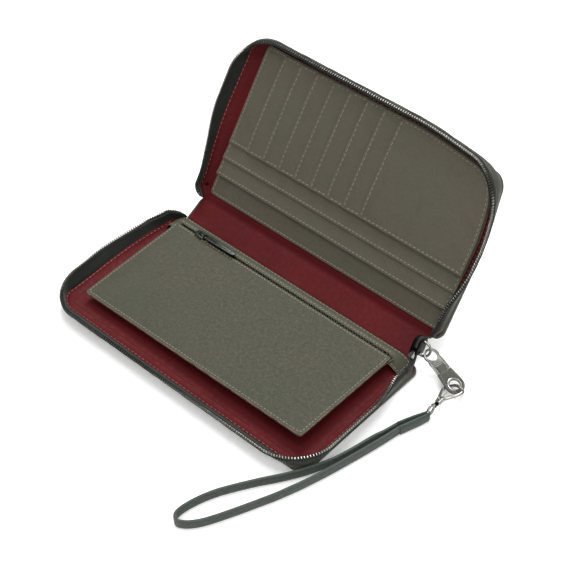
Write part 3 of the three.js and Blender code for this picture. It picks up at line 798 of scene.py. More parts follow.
# ---- zip walls ----
def wall_stations():
    """Foot and rim points of a half's wall in half coordinates, from its left end round to its right end."""
    start, foot_w = 7.5, 1.4
    side_steps, corner_steps, front_steps = 30, 22, 60
    left_end, right_end = -0.4, 1.2

    def side(sign, t, end):
        low = lerp(end, start, min(1, t + 1)) if t < 0 else start
        foot_v = low if t < 0 else lerp(start, FOOT_FRONT - FOOT_CORNER, t)
        rim_v = low if t < 0 else lerp(start, RIM_FRONT - RIM_CORNER, t)
        far = RIM_LEFT if sign < 0 else RIM_RIGHT
        x = lerp(END_X, far, smooth((rim_v - start) / ((60 if sign < 0 else 45) - start)))
        end_w = LEFT_END_HEIGHT if sign < 0 else RIGHT_END_HEIGHT
        w = lerp(end_w, RIM_HEIGHT, smooth((rim_v - start) / (22 - start)))
        if t < 0:
            fall = smooth(-t)
            w = lerp(end_w, 10.7 if sign < 0 else 6.8, fall)
            x = lerp(END_X, 85.4 if sign < 0 else 90.2, fall)
        foot_x = lerp(FOOT_X, 90.6, smooth(-t)) if t < 0 else FOOT_X
        return [sign * foot_x, foot_v, foot_w], [sign * x, rim_v, w]

    def corner(sign, t):
        c, s = sign * math.cos(t * math.pi / 2), math.sin(t * math.pi / 2)
        far = RIM_LEFT if sign < 0 else RIM_RIGHT
        return (
            [sign * (FOOT_X - FOOT_CORNER) + FOOT_CORNER * c, FOOT_FRONT - FOOT_CORNER * (1 - s), foot_w],
            [sign * (far - RIM_CORNER) + RIM_CORNER * c, RIM_FRONT - RIM_CORNER * (1 - s), RIM_HEIGHT],
        )

    stations = [side(-1, t, left_end) for t in np.linspace(-1, 0, 9)[:-1]]
    stations += [side(-1, t, left_end) for t in np.linspace(0, 1, side_steps + 1)[:-1]]
    stations += [corner(-1, t) for t in np.linspace(0, 1, corner_steps + 1)[:-1]]
    a, b = (np.array(corner(sign, 1)) for sign in (-1, 1))
    stations += [lerp(a, b, t) for t in np.linspace(0, 1, front_steps + 1)[:-1]]
    stations += [corner(1, t) for t in np.linspace(1, 0, corner_steps + 1)[:-1]]
    stations += [side(1, t, right_end) for t in np.linspace(1, 0, side_steps + 1)[:-1]]
    stations += [side(1, t, right_end) for t in np.linspace(0, -1, 9)]
    return np.array(stations, float)


STATIONS = wall_stations()
FOOT, RIM = STATIONS[:, 0], STATIONS[:, 1]
WALL_UP = unit(RIM - FOOT)
SLANT = np.linalg.norm(RIM - FOOT, axis=1)
WALL_MIDDLE = (FOOT + RIM) / 2
WALL_ALONG = unit(np.gradient(WALL_MIDDLE, axis=0))
WALL_OUT = unit(-np.cross(WALL_ALONG, WALL_UP))
RIM_LENGTH = run_length(RIM)


def on_wall(a, b):
    """Points of the wall per station: a up the slant and b outwards, each one value or one per station."""
    a, b = np.broadcast_to(a, SLANT.shape), np.broadcast_to(b, SLANT.shape)
    return FOOT + WALL_UP * a[:, None] + WALL_OUT * b[:, None]


def wall_piece(piece, half, profile, material, seed, ruffle, wear=0.0):
    """Lofts profile, a list of (share of the slant, offset up, offset out), round the wall."""
    wave = ruffle * ripple(np.stack([RIM_LENGTH, RIM_LENGTH * 0.21], -1), seed, 11)
    points = np.stack([on_wall(share * SLANT + up, out + share * wave) for share, up, out in profile], 1)
    share, up, out = np.array(profile).T
    flat = flats(points.shape, RIM_LENGTH[:, None], run_length(np.stack([share * 9 + up, out], 1)))
    piece.tube(in_half(half)(points), material, flat, np.broadcast_to(wear, points.shape[:2]))


def turnup_points(top):
    """The lining's rings per station: along the floor, up the wall, over its turned edge and back under."""
    high, low = on_wall(top, -1.75), on_wall(0.9, -1.75)
    inwards = unit(-WALL_OUT * [1, 1, 0])
    reach = ((FLOOR_W + 0.02 - low[:, 2]) / (high[:, 2] - low[:, 2]))[:, None]
    bend = low + (high - low) * reach
    start = bend + inwards * 4.0
    t = np.linspace(0, 1, 9)[None, :, None]
    sweep = start[:, None] * (1 - t) ** 2 + bend[:, None] * 2 * t * (1 - t) + high[:, None] * t**2
    turned_edge = ((top + 0.2, -1.62), (top + 0.22, -1.48), (top + 0.05, -1.36), (3.2, -1.36))
    edge = [on_wall(up, out) for up, out in turned_edge]
    back = [sweep[:, k] - np.array([0, 0, 0.42]) for k in (5, 3, 1, 0)]
    back[0] = sweep[:, 5] + WALL_OUT * 0.38
    return np.concatenate([sweep, np.stack(edge + back, 1)], 1)


# share of the slant, offset up, offset out
WALL_PROFILE = [
    (0, -0.2, -0.4), (0.3, 0, -0.45), (0.6, 0, -0.45), (1, -3.0, -0.42), (1, -2.55, -0.3), (1, -2.35, 0.0),
    (1, -2.55, 0.34), (1, -3.0, 0.45), (0.7, 0, 0.62), (0.4, 0, 0.66), (0.15, 0, 0.52), (0, -0.3, 0.42),
]
WALL_WEAR = (0, 0, 0, 0.1, 0.2, 0.3, 0.3, 0.1, 0, 0, 0, 0.2)
TAPE_PROFILE = [
    (0, 2.3, -1.15), (0.4, 0.6, -1.32), (0.7, 0.2, -1.35), (1, -1.7, -1.5), (1, -0.95, -1.6),
    (1, -0.75, -1.25), (1, -0.75, 0.45), (1, -0.95, 0.85), (1, -1.35, 0.85), (1, -1.6, 0.2),
    (1, -2.0, -0.75), (0.7, 0, -0.85), (0.4, 0.6, -0.85), (0, 2.3, -0.8),
]


def zip_walls():
    for half, seed, top in (("lower", 30, 4.4), ("upper", 40, 3.2 + 2.2 * smooth((-60 - RIM[:, 0]) / 25))):
        body = half + "_half"
        # leather outside, sewn over the cover's edge at its foot and turned in below the teeth
        piece = Piece(half + "_wall_leather")
        wall_piece(piece, half, WALL_PROFILE, OLIVE_OUTSIDE, seed, 0.16, WALL_WEAR)
        piece.build(body, half + "_zip_wall", merge=0)

        piece = Piece(half + "_tape_strip")
        wall_piece(piece, half, TAPE_PROFILE, TAPE, seed + 1, 0.14)
        piece.build(body, half + "_zip_tape", merge=0)

        # lining of the wall: a soft sweep up from the floor to a stitched, turned edge
        piece = Piece(half + "_wall_turnup")
        points = turnup_points(top)
        flat = flats(points.shape, RIM_LENGTH[:, None], np.arange(points.shape[1]) * 0.7)
        piece.tube(in_half(half)(points), RED, flat)
        path = on_wall(top - 0.65, -1.77)[8:-8]
        inward = half_direction(half, -WALL_OUT[8:-8])
        stitches(piece, in_half(half)(path), inward, RED_THREAD, 2.9, 2.0, 0.18, 0.02)
        piece.build(body, half + "_wall_lining", merge=0)

        teeth(half, body)
        stop(half, body)


def teeth(half, body):
    """Moulded metal teeth clamped on the tape's edge, each a small block with a sloped head."""
    piece = Piece(half + "_teeth_row")
    place = in_half(half)
    base = on_wall(SLANT - 0.75, -0.38)
    first, last = 3.2, RIM_LENGTH[-1] - 10.5
    count = int((last - first) / 1.62)
    hump = np.array([(-0.31, 0.0), (-0.34, 0.6), (-0.22, 1.12), (0.22, 1.12), (0.34, 0.6), (0.31, 0.0)])
    widths = ((-0.7, 0.72), (-0.55, 1.0), (0.55, 1.0), (0.7, 0.72))
    for k in range(count):
        s = first + (k + 0.5) * (last - first) / count

        centre = at_length(s, RIM_LENGTH, base)
        along, out, up = (unit(at_length(s, RIM_LENGTH, ways)) for ways in (WALL_ALONG, WALL_OUT, WALL_UP))
        rings = np.array([
            [centre + along * x * size + out * b + up * (z * size) for x, z in hump]
            for b, size in widths
        ])
        flat = flats(rings.shape, np.array(widths)[:, :1], k * 1.7 + hump[:, 0])
        piece.tube(place(rings), NICKEL, flat)
    sharpen(piece.build(body, half + "_zip_teeth", merge=0))


def stop(half, body):
    """Pinched metal stop at the left end of a row of teeth."""
    piece = Piece(half + "_end_stop")
    outline = (
        (-0.8, 0.2), (-0.8, 0.7), (-0.5, 1.05), (0.5, 1.05),
        (0.8, 0.7), (0.8, 0.2), (0.5, -0.1), (-0.5, -0.1),
    )
    end, ahead, up, out = (ways[3] for ways in (RIM, WALL_ALONG, WALL_UP, WALL_OUT))
    rings = [
        [end + ahead * shift + out * (x * size - 0.3) + up * (z * size - 0.9) for x, z in outline]
        for shift, size in ((-0.75, 0.8), (-0.55, 1.0), (0, 0.94), (0.55, 1.0), (0.75, 0.8))
    ]
    piece.tube(in_half(half)(np.array(rings)), NICKEL)
    sharpen(piece.build(body, half + "_zip_stop", merge=0))


zip_walls()


# ---- card panel of the upper half ----
PANEL = (-84.2, 91.6, 5.0, 97.4)
DOCUMENTS, DOCUMENT_PITCH = (17.9, 28.4, 38.9), 10.5
CARD_FIRST, CARD_PITCH, CARDS = -69.2, 12.55, 8
OVERLAP, SHEET, LIFT = 3.5, 0.45, 0.7
BACKING_TOP, FIELD_TOP, FRONT_TOP = 3.8, 5.4, 7.0


def lip(distance):
    """The small swell of a turned and stitched free edge."""
    return 0.28 * np.exp(-(((distance - 0.9) / 1.3) ** 2))


def panel_seam(piece, path, height, **options):
    seam(piece, "upper", np.array(path), height, OLIVE_THREAD, **options)


def card_panel():
    u0, u1, v0, v1 = PANEL
    left, right = u0 + 1.5, u1 - 1.5
    place = in_half("upper")
    outline = Outline(u0, u1, v0, v1, (2, 2, 18, 3))

    def backing(u, v):
        return 3.75 + 0.10 * smooth(outline.depth(u, v) / 5) * ripple(np.stack([u, v], -1), 51, 30)

    piece = Piece("card_panel_base")
    slab(piece, outline, backing, 0.6, OLIVE_INSIDE, place, edge=CUT_EDGE, step=4)
    top, bottom = DOCUMENTS[0] - 0.5, v0 + 1.4
    panel_seam(piece, filleted([(left, top), (left, bottom), (right, bottom), (right, top)], [1, 1]), 3.78)
    piece.build("upper_half", "card_panel_backing")

    for k, low in enumerate(DOCUMENTS):
        front = k == len(DOCUMENTS) - 1
        high = v1 if front else low + DOCUMENT_PITCH + OVERLAP
        base = FIELD_TOP - SHEET if front else BACKING_TOP + 0.5

        def face(u, v, k=k, low=low, base=base, front=front):
            fall = 0.0 if front else LIFT * (1 - (v - low) / DOCUMENT_PITCH)
            soft = 0.07 * ripple(np.stack([u, v * 1.5], -1), 60 + k, 26)
            return base + SHEET + fall + lip(v - low) + soft

        piece = Piece("document_sleeve_%d" % (k + 1))
        sleeve = Outline(u0, u1, low, high, (0, 0, 18, 3) if front else (0, 0, 0, 0))
        slab(piece, sleeve, face, SHEET, OLIVE_INSIDE, place, step=3.4, worn=0.5)
        panel_seam(piece, [(u0 + 1.2, low + 1.6), (u1 - 1.2, low + 1.6)], face, pitch=2.7)
        if front:
            path = [(left, low + 3.2), (left, v1 - 1.5), (CARD_FIRST - 0.6, v1 - 1.5)]
            panel_seam(piece, filleted(path, [2]), face)
        else:
            for u in (left, right):
                panel_seam(piece, [(u, low + 3.2), (u, low + DOCUMENT_PITCH - 0.5)], face)
        piece.build("upper_half", "document_slot_%d" % (k + 1))
    card_slots(u1, v1)


def card_slots(u1, v1):
    bottom, top = DOCUMENTS[2] + 0.4, v1 - 0.4
    low, high = bottom + 1.3, top - 1.3
    for k in range(CARDS):
        left = CARD_FIRST + k * CARD_PITCH
        last = k == CARDS - 1
        base = FRONT_TOP - SHEET if last else FIELD_TOP + 0.5

        def face(u, v, k=k, left=left, base=base, last=last):
            fall = 0.0 if last else LIFT * (1 - (u - left) / CARD_PITCH)
            ends = smooth(np.minimum(v - bottom, top - v) / 14)
            mouth = 0.75 * ends * np.exp(-(((u - left) / 5.0) ** 2))
            soft = 0.09 * ripple(np.stack([u * 1.2, v * 0.7], -1), 70 + k, 24)
            return base + SHEET + fall + lip(u - left) + mouth + soft

        piece = Piece("card_sleeve_%d" % (k + 1))
        right = u1 if last else left + CARD_PITCH + OVERLAP
        outline = Outline(left, right, bottom, top, (0.6, 0, 18 if last else 0, 0.6))
        slab(piece, outline, face, SHEET, OLIVE_INSIDE, in_half("upper"), step=2.6, worn=0.5)
        panel_seam(piece, [(left + 1.3, bottom + 1.2), (left + 1.3, top - 1.2)], face, pitch=3.0, length=2.2)
        start, end = left + 2.8, u1 - 1.5 if last else left + CARD_PITCH - 0.8
        panel_seam(piece, [(start, low), (end, low)], face, pitch=2.9)
        path = [(start, high), (end, high)]
        if last:
            path = filleted(path + [(end, bottom + 2.6)], [16.5], 14)
        panel_seam(piece, path, face, pitch=2.9)
        piece.build("upper_half", "card_slot_%d" % (k + 1))


card_panel()


# ---- coin pocket: band, leaf, zip ----
BAND_X = np.array([-91.2, -90.4, -88.6, -87.0, -85.5, -84.0, 81.5, 83.5, 85.2, 87.4, 89.6, 90.6])
BAND_W = np.array([3.5, 4.0, 5.35, 6.8, 7.75, 8.05, 8.05, 7.75, 6.7, 5.3, 4.0, 3.5])


def coin_band():
    piece = Piece("coin_band_strip")
    outline = Outline(-90.6, 90.0, 0.8, 13.0, (1, 1, 1, 1))

    def height(u, v):
        sag = -0.12 * np.sin(np.clip((v - 0.8) / 12.2, 0, 1) * math.pi)
        return np.interp(u, BAND_X, BAND_W) + sag + 0.05 * ripple(np.stack([u, v], -1), 81, 18)

    slab(piece, outline, height, 0.6, OLIVE, in_half("lower"), edge=CUT_EDGE, step=2.5, worn=0.25)
    path = filleted([(-89.0, 2.1), (88.6, 2.1), (88.6, 11.7), (-89.0, 11.7), (-89.0, 2.6)], [1, 1, 1])
    seam(piece, "lower", path, height, OLIVE_THREAD, pitch=2.5)
    for u in np.arange(86.8, 91.5, 2.4):
        tack = np.array([(u, 14.6), (u + 1.7, 14.7)])
        seam(piece, "lower", tack, FLOOR_W + 0.12, RED_THREAD, pitch=1.7, length=1.6)
    piece.build("lower_half", "coin_pocket_band")


def coin_front_height(u, v, outline):
    d = outline.depth(u, v)
    near = smooth((v - COIN[2]) / 10)
    dip = 0.55 * (1 - smooth(d / 9)) * near
    crown = 0.35 * smooth(d / 30)
    soft = 0.16 * smooth(d / 8) * ripple(np.stack([u, v * 1.1], -1), 91, 34)
    return 3.25 - dip + crown + soft


def coin_leaf():
    u0, u1, v0, v1 = COIN
    outline = Outline(u0, u1, v0, v1, (1, 1, 2.2, 2.2))

    def face(u, v):
        return coin_front_height(u, v, outline)

    piece = Piece("coin_pocket_front")
    slab(piece, outline, face, 0.75, OLIVE, leaf, edge=CUT_EDGE, step=3, worn=0.9)
    left, right, rear, front = u0 + 1.6, u1 - 1.6, v0 + 1.5, v1 - 1.6
    corners = [(left, rear), (left, front), (right, front), (right, rear), (u0 + 3.2, rear)]
    path = resample(filleted(corners, [1.6, 1.6, 0.4]), 320)
    high = np.column_stack([path, face(path[:, 0], path[:, 1])])
    stitches(piece, leaf(high), (0, 0, 1), OLIVE_THREAD, 2.3, 1.6, 0.27, 0.1)
    piece.build("coin_pocket", "coin_front_panel")

    back = Outline(u0, u1, 0.3, v1, (1, 1, 2.2, 2.2))

    def back_face(u, v):
        away = 1 - smooth(np.minimum(np.minimum(u - u0, u1 - u), v1 - v) / 8)
        rise = away * smooth((v - 2) / 10)
        front = coin_front_height(u, np.maximum(v, v0), outline) - 0.75
        return lerp(0.3, np.minimum(front, 2.2) - 0.06, rise)

    piece = Piece("coin_pocket_back")
    slab(piece, back, back_face, 0.6, OLIVE, leaf, edge=CUT_EDGE, step=3, worn=0.9)
    lip_outline = Outline(u0 + 0.4, u1 - 0.4, -1.1, 1.7, (0.8, 0.8, 0.5, 0.5))
    slab(piece, lip_outline, plain(3.2, 93, 0.04, 20), 0.5, OLIVE, leaf, step=3, worn=0.9)
    row = resample([(u0 + 2, 0.3, 3.2), (u1 - 2, 0.3, 3.2)], 200)
    stitches(piece, leaf(row), (0, 0, 1), OLIVE_THREAD, 2.3, 1.6, 0.25)
    piece.build("coin_pocket", "coin_back_panel")


def coin_bag():
    """The pocket's lining: one sheet folded at the front, open towards the zip."""
    far = COIN[3] - 6.5
    under = [(y, 0.62) for y in np.linspace(2.3, far, 26)]
    over = [(y, 2.36) for y in np.linspace(far, 8.7, 24)]
    inside = [(y, 1.98) for y in np.linspace(8.7, far - 0.4, 24)]
    floor = [(y, 1.0) for y in np.linspace(far - 0.4, 2.3, 26)]
    profile = np.array(under + over + inside + floor)
    x = np.linspace(COIN[0] + 6.5, COIN[1] - 6.5, 56)
    rings = np.zeros((len(x), len(profile), 3))
    rings[..., 0], rings[..., 1:] = x[:, None], profile
    rings[..., 2] += 0.05 * ripple(rings[..., :2], 97, 16)
    piece = Piece("coin_lining_bag")
    piece.tube(leaf(rings), RED, rings)
    piece.build("coin_pocket", "coin_pocket_lining", merge=0)


def coin_zip():
    left, right = -80, 79
    for side, near, far, level in (("front", 3.3, 8.4, 2.42), ("rear", 0.5, 2.0, 2.2)):
        piece = Piece("coin_tape_" + side)
        tape = Outline(left, right, near, far)
        slab(piece, tape, plain(level, 95, 0.05, 14), 0.4, TAPE, leaf, step=3, worn=0)
        if side == "rear":
            hem = Outline(left, right, 0.45, 0.95)
            slab(piece, hem, plain(2.2), 1.8, TAPE, leaf, step=6, worn=0, radius=0.2)
        piece.build("coin_pocket", "coin_zip_tape_" + side)

    # closed chain: teeth from the two sides in turn
    piece = Piece("coin_zip_teeth")
    hump = np.array([(-0.38, 0.0), (-0.4, 0.55), (-0.25, 0.95), (0.25, 0.95), (0.4, 0.55), (0.38, 0.0)])
    pitch = 0.98
    for k in range(int((right + 77) / pitch)):
        x = left + 1.4 + k * pitch
        near, far = (1.35, 2.75) if k % 2 else (2.05, 3.45)
        rings = np.array([
            [(x + a * size, y, 2.35 + b * size) for a, b in hump]
            for y, size in ((near, 0.8), (near + 0.2, 1.0), (far - 0.2, 1.0), (far, 0.8))
        ])
        piece.tube(leaf(rings), GUNMETAL, rings + [0, k * 0.7, 0])
    sharpen(piece.build("coin_pocket", "coin_zip_chain", merge=0))

    section = np.array([(1.15, 0.1), (1.05, 0.7), (1.5, 1.15), (3.2, 1.15), (3.6, 0.7), (3.5, 0.1)])
    middle = section.mean(0)
    for side, x in (("left", -80.5), ("right", 78.3)):
        piece = Piece("coin_stop_" + side)
        rings = [
            [(x + dx, *((p - middle) * size + middle + [0, 2.2])) for p in section]
            for dx, size in ((0, 0.8), (0.2, 1), (0.6, 0.93), (1.0, 1), (1.2, 0.8))
        ]
        piece.tube(leaf(np.array(rings)), GUNMETAL)
        sharpen(piece.build("coin_pocket", "coin_zip_stop_" + side, merge=0))


# ---- metal ----
class Spot:
    """A turned local frame: points in millimetres of its own to row-frame metres."""

    def __init__(self, origin, *turns):
        self.origin = np.array(origin, float)
        self.matrix = np.eye(3)
        for axis, angle in turns:
            self.matrix = self.matrix @ np.array(Matrix.Rotation(angle, 3, axis))

    def __call__(self, points):
        return (np.asarray(points, float) @ self.matrix.T + self.origin) * MM


def wire(piece, points, radius, material, place, steps, sides, swell=((0, 1), (1, 1)), curved=True):
    """A round wire through local points, with rounded ends. swell is its thickness along its length."""
    path = curve_through(points, steps) if curved else resample(points, steps)
    along = unit(np.gradient(path, axis=0))
    normal = np.cross(along[0], [0.31, 0.52, 0.8])
    normals = []
    for t in along:
        normal = unit(normal - t * float(normal @ t))
        normals.append(normal)
    normals = np.array(normals)
    side = np.cross(along, normals)
    lengths = run_length(path)
    r = radius * np.interp(lengths / lengths[-1], *swell)
    angles = np.arange(sides) * 2 * math.pi / sides
    ring = normals[:, None] * np.cos(angles)[None, :, None] + side[:, None] * np.sin(angles)[None, :, None]
    rings = path[:, None] + ring * r[:, None, None]
    caps = [0.93, 0.7, 0.3]
    start = [path[0] - along[0] * radius * math.sqrt(1 - c * c) + ring[0] * r[0] * c for c in caps[::-1]]
    end = [path[-1] + along[-1] * radius * math.sqrt(1 - c * c) + ring[-1] * r[-1] * c for c in caps]
    rings = np.concatenate([start, rings, end])
    beyond = np.array([0.1, 0.2, 0.3])
    along = np.r_[-beyond[::-1], lengths, lengths[-1] + beyond]
    piece.tube(place(rings), material, flats(rings.shape, along[:, None], angles * radius))


def flat_plate(piece, loops, low, high, bevel, material, place):
    """A plate with softened edges: the first 2-D loop is its outline and the others are its holes."""
    curve = bpy.data.curves.new("outline", "CURVE")
    curve.dimensions, curve.fill_mode = "2D", "BOTH"
    curve.extrude, curve.bevel_depth, curve.bevel_resolution = (high - low) / 2 - bevel, bevel, 2
    curve.offset = -bevel
    for loop in loops:
        spline = curve.splines.new("POLY")
        spline.points.add(len(loop) - 1)
        points = np.column_stack([loop, np.zeros(len(loop)), np.ones(len(loop))])
        spline.points.foreach_set("co", points.ravel())
        spline.use_cyclic_u = True
    holder = bpy.data.objects.new("outline", curve)
    mesh = bpy.data.meshes.new_from_object(holder)
    points = np.zeros(len(mesh.vertices) * 3)
    mesh.vertices.foreach_get("co", points)
    points = points.reshape(-1, 3) + [0, 0, (low + high) / 2]
    faces = [tuple(p.vertices) for p in mesh.polygons]
    piece.add(place(points), faces, material, points)
    bpy.data.meshes.remove(mesh)
    bpy.data.objects.remove(holder)
    bpy.data.curves.remove(curve)


def arc(cx, cy, r, start, end, steps=24):
    angles = np.radians(np.linspace(start, end, steps))
    return [(cx + r * math.cos(a), cy + r * math.sin(a)) for a in angles]


def ring_loop(cx, cy, r):
    return arc(cx, cy, r, 0, 360, 49)[:-1]


def rounded_loop(points, radius):
    """A closed 2-D outline with its corners rounded; radius may be one value or one per corner."""
    p = np.asarray(points, float)
    radii = np.broadcast_to(radius, len(p))
    out = []
    for before, at, after, r in zip(np.roll(p, 1, 0), p, np.roll(p, -1, 0), radii):
        if r <= 0:
            out.append(at)
            continue
        reach_a, reach_b = (min(r, np.linalg.norm(q - at) * 0.49) for q in (before, after))
        a, b = unit(before - at), unit(after - at)
        for t in np.linspace(0, 1, 5):
            out.append(at + a * reach_a * (1 - t) ** 2 + b * reach_b * t**2)
    return np.array(out)


def coin_slider():
    x = -64.0
    piece = Piece("coin_slider")
    corners = [(-4.3, 0.2), (2.2, -0.4), (4.3, 1.4), (4.3, 3.4), (2.2, 5.2), (-4.3, 4.6)]
    top = rounded_loop([(x + a, y) for a, y in corners], 1.2)
    flat_plate(piece, [top], 3.75, 4.65, 0.22, GUNMETAL, leaf)
    bail = [(-1.4, 4.5), (-0.6, 5.7), (0.9, 6.15), (2.4, 5.7), (3.2, 4.5)]
    wire(piece, [(x + a, 2.4, z) for a, z in bail], 0.42, GUNMETAL, leaf, 30, 10)
    piece.build("coin_zip_slider", "coin_slider_body")

    piece = Piece("coin_zip_puller")
    start = x + 1.9
    bar, hole, groove = (
        rounded_loop([(start + a, y) for a, y in loop], radius) for loop, radius in (
            ([(0, 0.9), (4, 0.3), (25, 0.7), (26.2, 2.4), (25, 4.1), (4, 4.5), (0, 3.9)],
             [1.4, 2, 1.4, 1.2, 1.4, 2, 1.4]),
            ([(0.9, 1.5), (3.2, 1.5), (3.2, 3.3), (0.9, 3.3)], 0.5),
            ([(6, 1.6), (22.8, 1.7), (22.8, 3.1), (6, 3.2)], 0.6),
        )
    )
    flat_plate(piece, [bar, hole], 5.0, 5.75, 0.2, GUNMETAL, leaf)
    flat_plate(piece, [groove], 5.7, 5.95, 0.1, GUNMETAL, leaf)
    piece.build("coin_zip_pull", "coin_slider_pull")


coin_band()
coin_leaf()
coin_bag()
coin_zip()
coin_slider()


def row_point(x, y, z):
    """A point given from the first fold's line to millimetres of the row frame."""
    return np.array([x, y + FOLD[1], z], float)


SLIDER = Spot(row_point(89, 5, 13.3), ("X", -math.pi / 6))


def main_slider():
    piece = Piece("zip_end_sleeve")
    # x, y, the sleeve's low and high edges
    stations = [
        (92.4, -9.5, 3.4, 9.0), (92.0, -6.8, 3.8, 8.9), (91.6, -3.0, 4.4, 9.2), (90.6, 0.0, 5.2, 9.9),
        (89.7, 2.2, 6.6, 10.8),
    ]
    rings = []
    for x, y, low, high in curve_through(stations, 18):
        middle, foot, head = (low + high) / 2, low + 0.3, high - 0.3
        section = (
            (-0.5, foot), (-0.62, middle), (-0.5, head), (0, high),
            (0.5, head), (0.6, middle), (0.5, foot), (0, low),
        )
        rings.append([row_point(x + dx, y, z) for dx, z in section])
    rings = np.array(rings)
    flat = np.stack([rings[..., 1], rings[..., 2], rings[..., 0]], -1)
    piece.tube(rings * MM, TAPE, flat)
    # the tape's loose selvedge, lying in from the sleeve over the spine's edge
    web = []
    for x, y, low in (
        (92.2, -7.0, 4.6), (91.9, -4.5, 5.0), (91.4, -2.0, 5.4), (90.7, 0.0, 6.0), (90.1, 1.5, 6.8),
    ):
        base = 3.3 + max(0.0, y) * math.tan(ANGLE)
        section = (
            (84.6, base), (86.5, base + 0.25), (88.4, base + 0.7), (x, low),
            (x, low - 0.5), (88.4, base + 0.3), (86.5, base - 0.1), (84.6, base - 0.25),
        )
        web.append([row_point(u, y, w) for u, w in section])
    web = np.array(web)
    piece.tube(web * MM, TAPE, web)
    piece.build("lower_half", "zip_end_tape", merge=0)

    # two shield-shaped plates joined by a neck, with side flanges turned towards each other
    piece = Piece("main_slider")
    half_shield = [(-5.2, -3.2), (-2.0, -4.2), (3.6, -3.6), (5.2, -1.6)]
    shield = rounded_loop(half_shield + [(x, -y) for x, y in half_shield[::-1]], 1.6)

    def upright(offset):
        return lambda p: SLIDER(np.stack([p[:, 2] + offset, p[:, 1], -p[:, 0]], 1))

    for offset in (1.75, -1.75):
        flat_plate(piece, [shield], -0.55, 0.55, 0.25, BLACK_METAL, upright(offset))
    for sign in (-1, 1):
        flange = [(1.75, sign * 3.7, -4.2), (1.75, sign * 3.9, 0), (1.75, sign * 3.3, 3.6)]
        wire(piece, flange, 0.55, BLACK_METAL, SLIDER, 24, 8)
        wire(piece, [(-a, b, c) for a, b, c in flange], 0.55, BLACK_METAL, SLIDER, 24, 8)
    wire(piece, [(-1.6, 0, -3.4), (0, 0, -3.6), (1.6, 0, -3.4)], 1.1, BLACK_METAL, SLIDER, 10, 12)
    piece.build("lower_half", "main_slider_body")

    piece = Piece("slider_bail")
    arch = (
        (2.3, 0, -4.2), (4.0, 0, -4.35), (5.9, 0, -3.9), (7.5, 0, -2.3), (8.0, 0, 0.2), (7.2, 0, 2.1),
        (5.6, 0, 3.1), (3.9, 0, 3.5), (2.3, 0, 3.5),
    )
    swell = (0, 0.12, 0.3, 0.7, 0.88, 1), (1.25, 1, 1.05, 1.05, 1, 1.2)
    wire(piece, arch, 0.68, SILVER, SLIDER, 48, 14, swell)
    piece.build("lower_half", "main_slider_bail", merge=0)


main_slider()

RING = row_point(98.0, 5.0, 11.2)
EYELET = row_point(117.6, 0.9, 5.2)
SPAN = EYELET - RING
PULL_LENGTH = float(np.linalg.norm(SPAN))
PULL = Spot(RING, ("Z", math.atan2(SPAN[1], SPAN[0])), ("Y", math.asin(-SPAN[2] / PULL_LENGTH)))
CLASP_LEVEL = Spot(EYELET, ("Z", math.radians(-87)))
CLASP = Spot(EYELET, ("Z", math.radians(-87)), ("X", math.radians(20)))


def main_puller():
    e = PULL_LENGTH
    piece = Piece("puller_frame")
    fork = [(4.2, -4.4), (10.8, -4.5), (10.8, -2.7), (6.5, -2.6), (6.5, 2.6), (10.8, 2.7)]
    outer = [(10.8, 4.5), (4.2, 4.4)] + arc(0, 0, 4.5, 62, 298, 32) + fork
    flat_plate(piece, [outer, ring_loop(0, 0, 3.25)], -0.7, 0.7, 0.22, SILVER, PULL)
    piece.build("zip_puller", "puller_head")

    piece = Piece("puller_tab")
    tab = [(6.9, -2.3), (11.2, -2.35), (11.2, -4.6), (e - 2, -5.5)] + arc(e, 0, 5.6, -88, 88, 30)
    tab += [(e - 2, 5.5), (11.2, 4.6), (11.2, 2.35), (6.9, 2.3)]
    hole = ring_loop(e, 0, 4.25)
    for low, high in ((-0.75, -0.03), (0.03, 0.75)):
        flat_plate(piece, [tab, hole], low, high, 0.2, PULLER, PULL)
    path = [(11.9, -3.6), (e - 1.5, -4.85)] + arc(e, 0, 4.95, -80, 80, 24)
    path += [(e - 1.5, 4.85), (11.9, 3.6), (11.9, -3.3)]
    path = np.column_stack([np.array(path), np.full(len(path), 0.75)])
    stitches(piece, PULL(path), PULL.matrix[:, 2], OLIVE_THREAD, 1.9, 1.3, 0.14, 0)
    piece.build("zip_puller", "puller_leather")

    piece = Piece("puller_grommet")
    lower = [(2.95, -0.2), (3.0, -0.6), (3.25, -0.98), (3.6, -1.05), (4.2, -0.92), (4.5, -0.78), (4.3, -0.6)]
    section = lower + [(r, -z) for r, z in lower[::-1]]
    angles = full_turn(48)
    rings = np.array([[(e + r * math.cos(a), r * math.sin(a), z) for r, z in section] for a in angles])
    flat = np.array([[(a * 4, k * 0.5, 0) for k in range(len(section))] for a in angles])
    piece.grid(PULL(rings), SILVER, flat, around=True, along=True)
    piece.build("zip_puller", "puller_eyelet", merge=0)


main_puller()


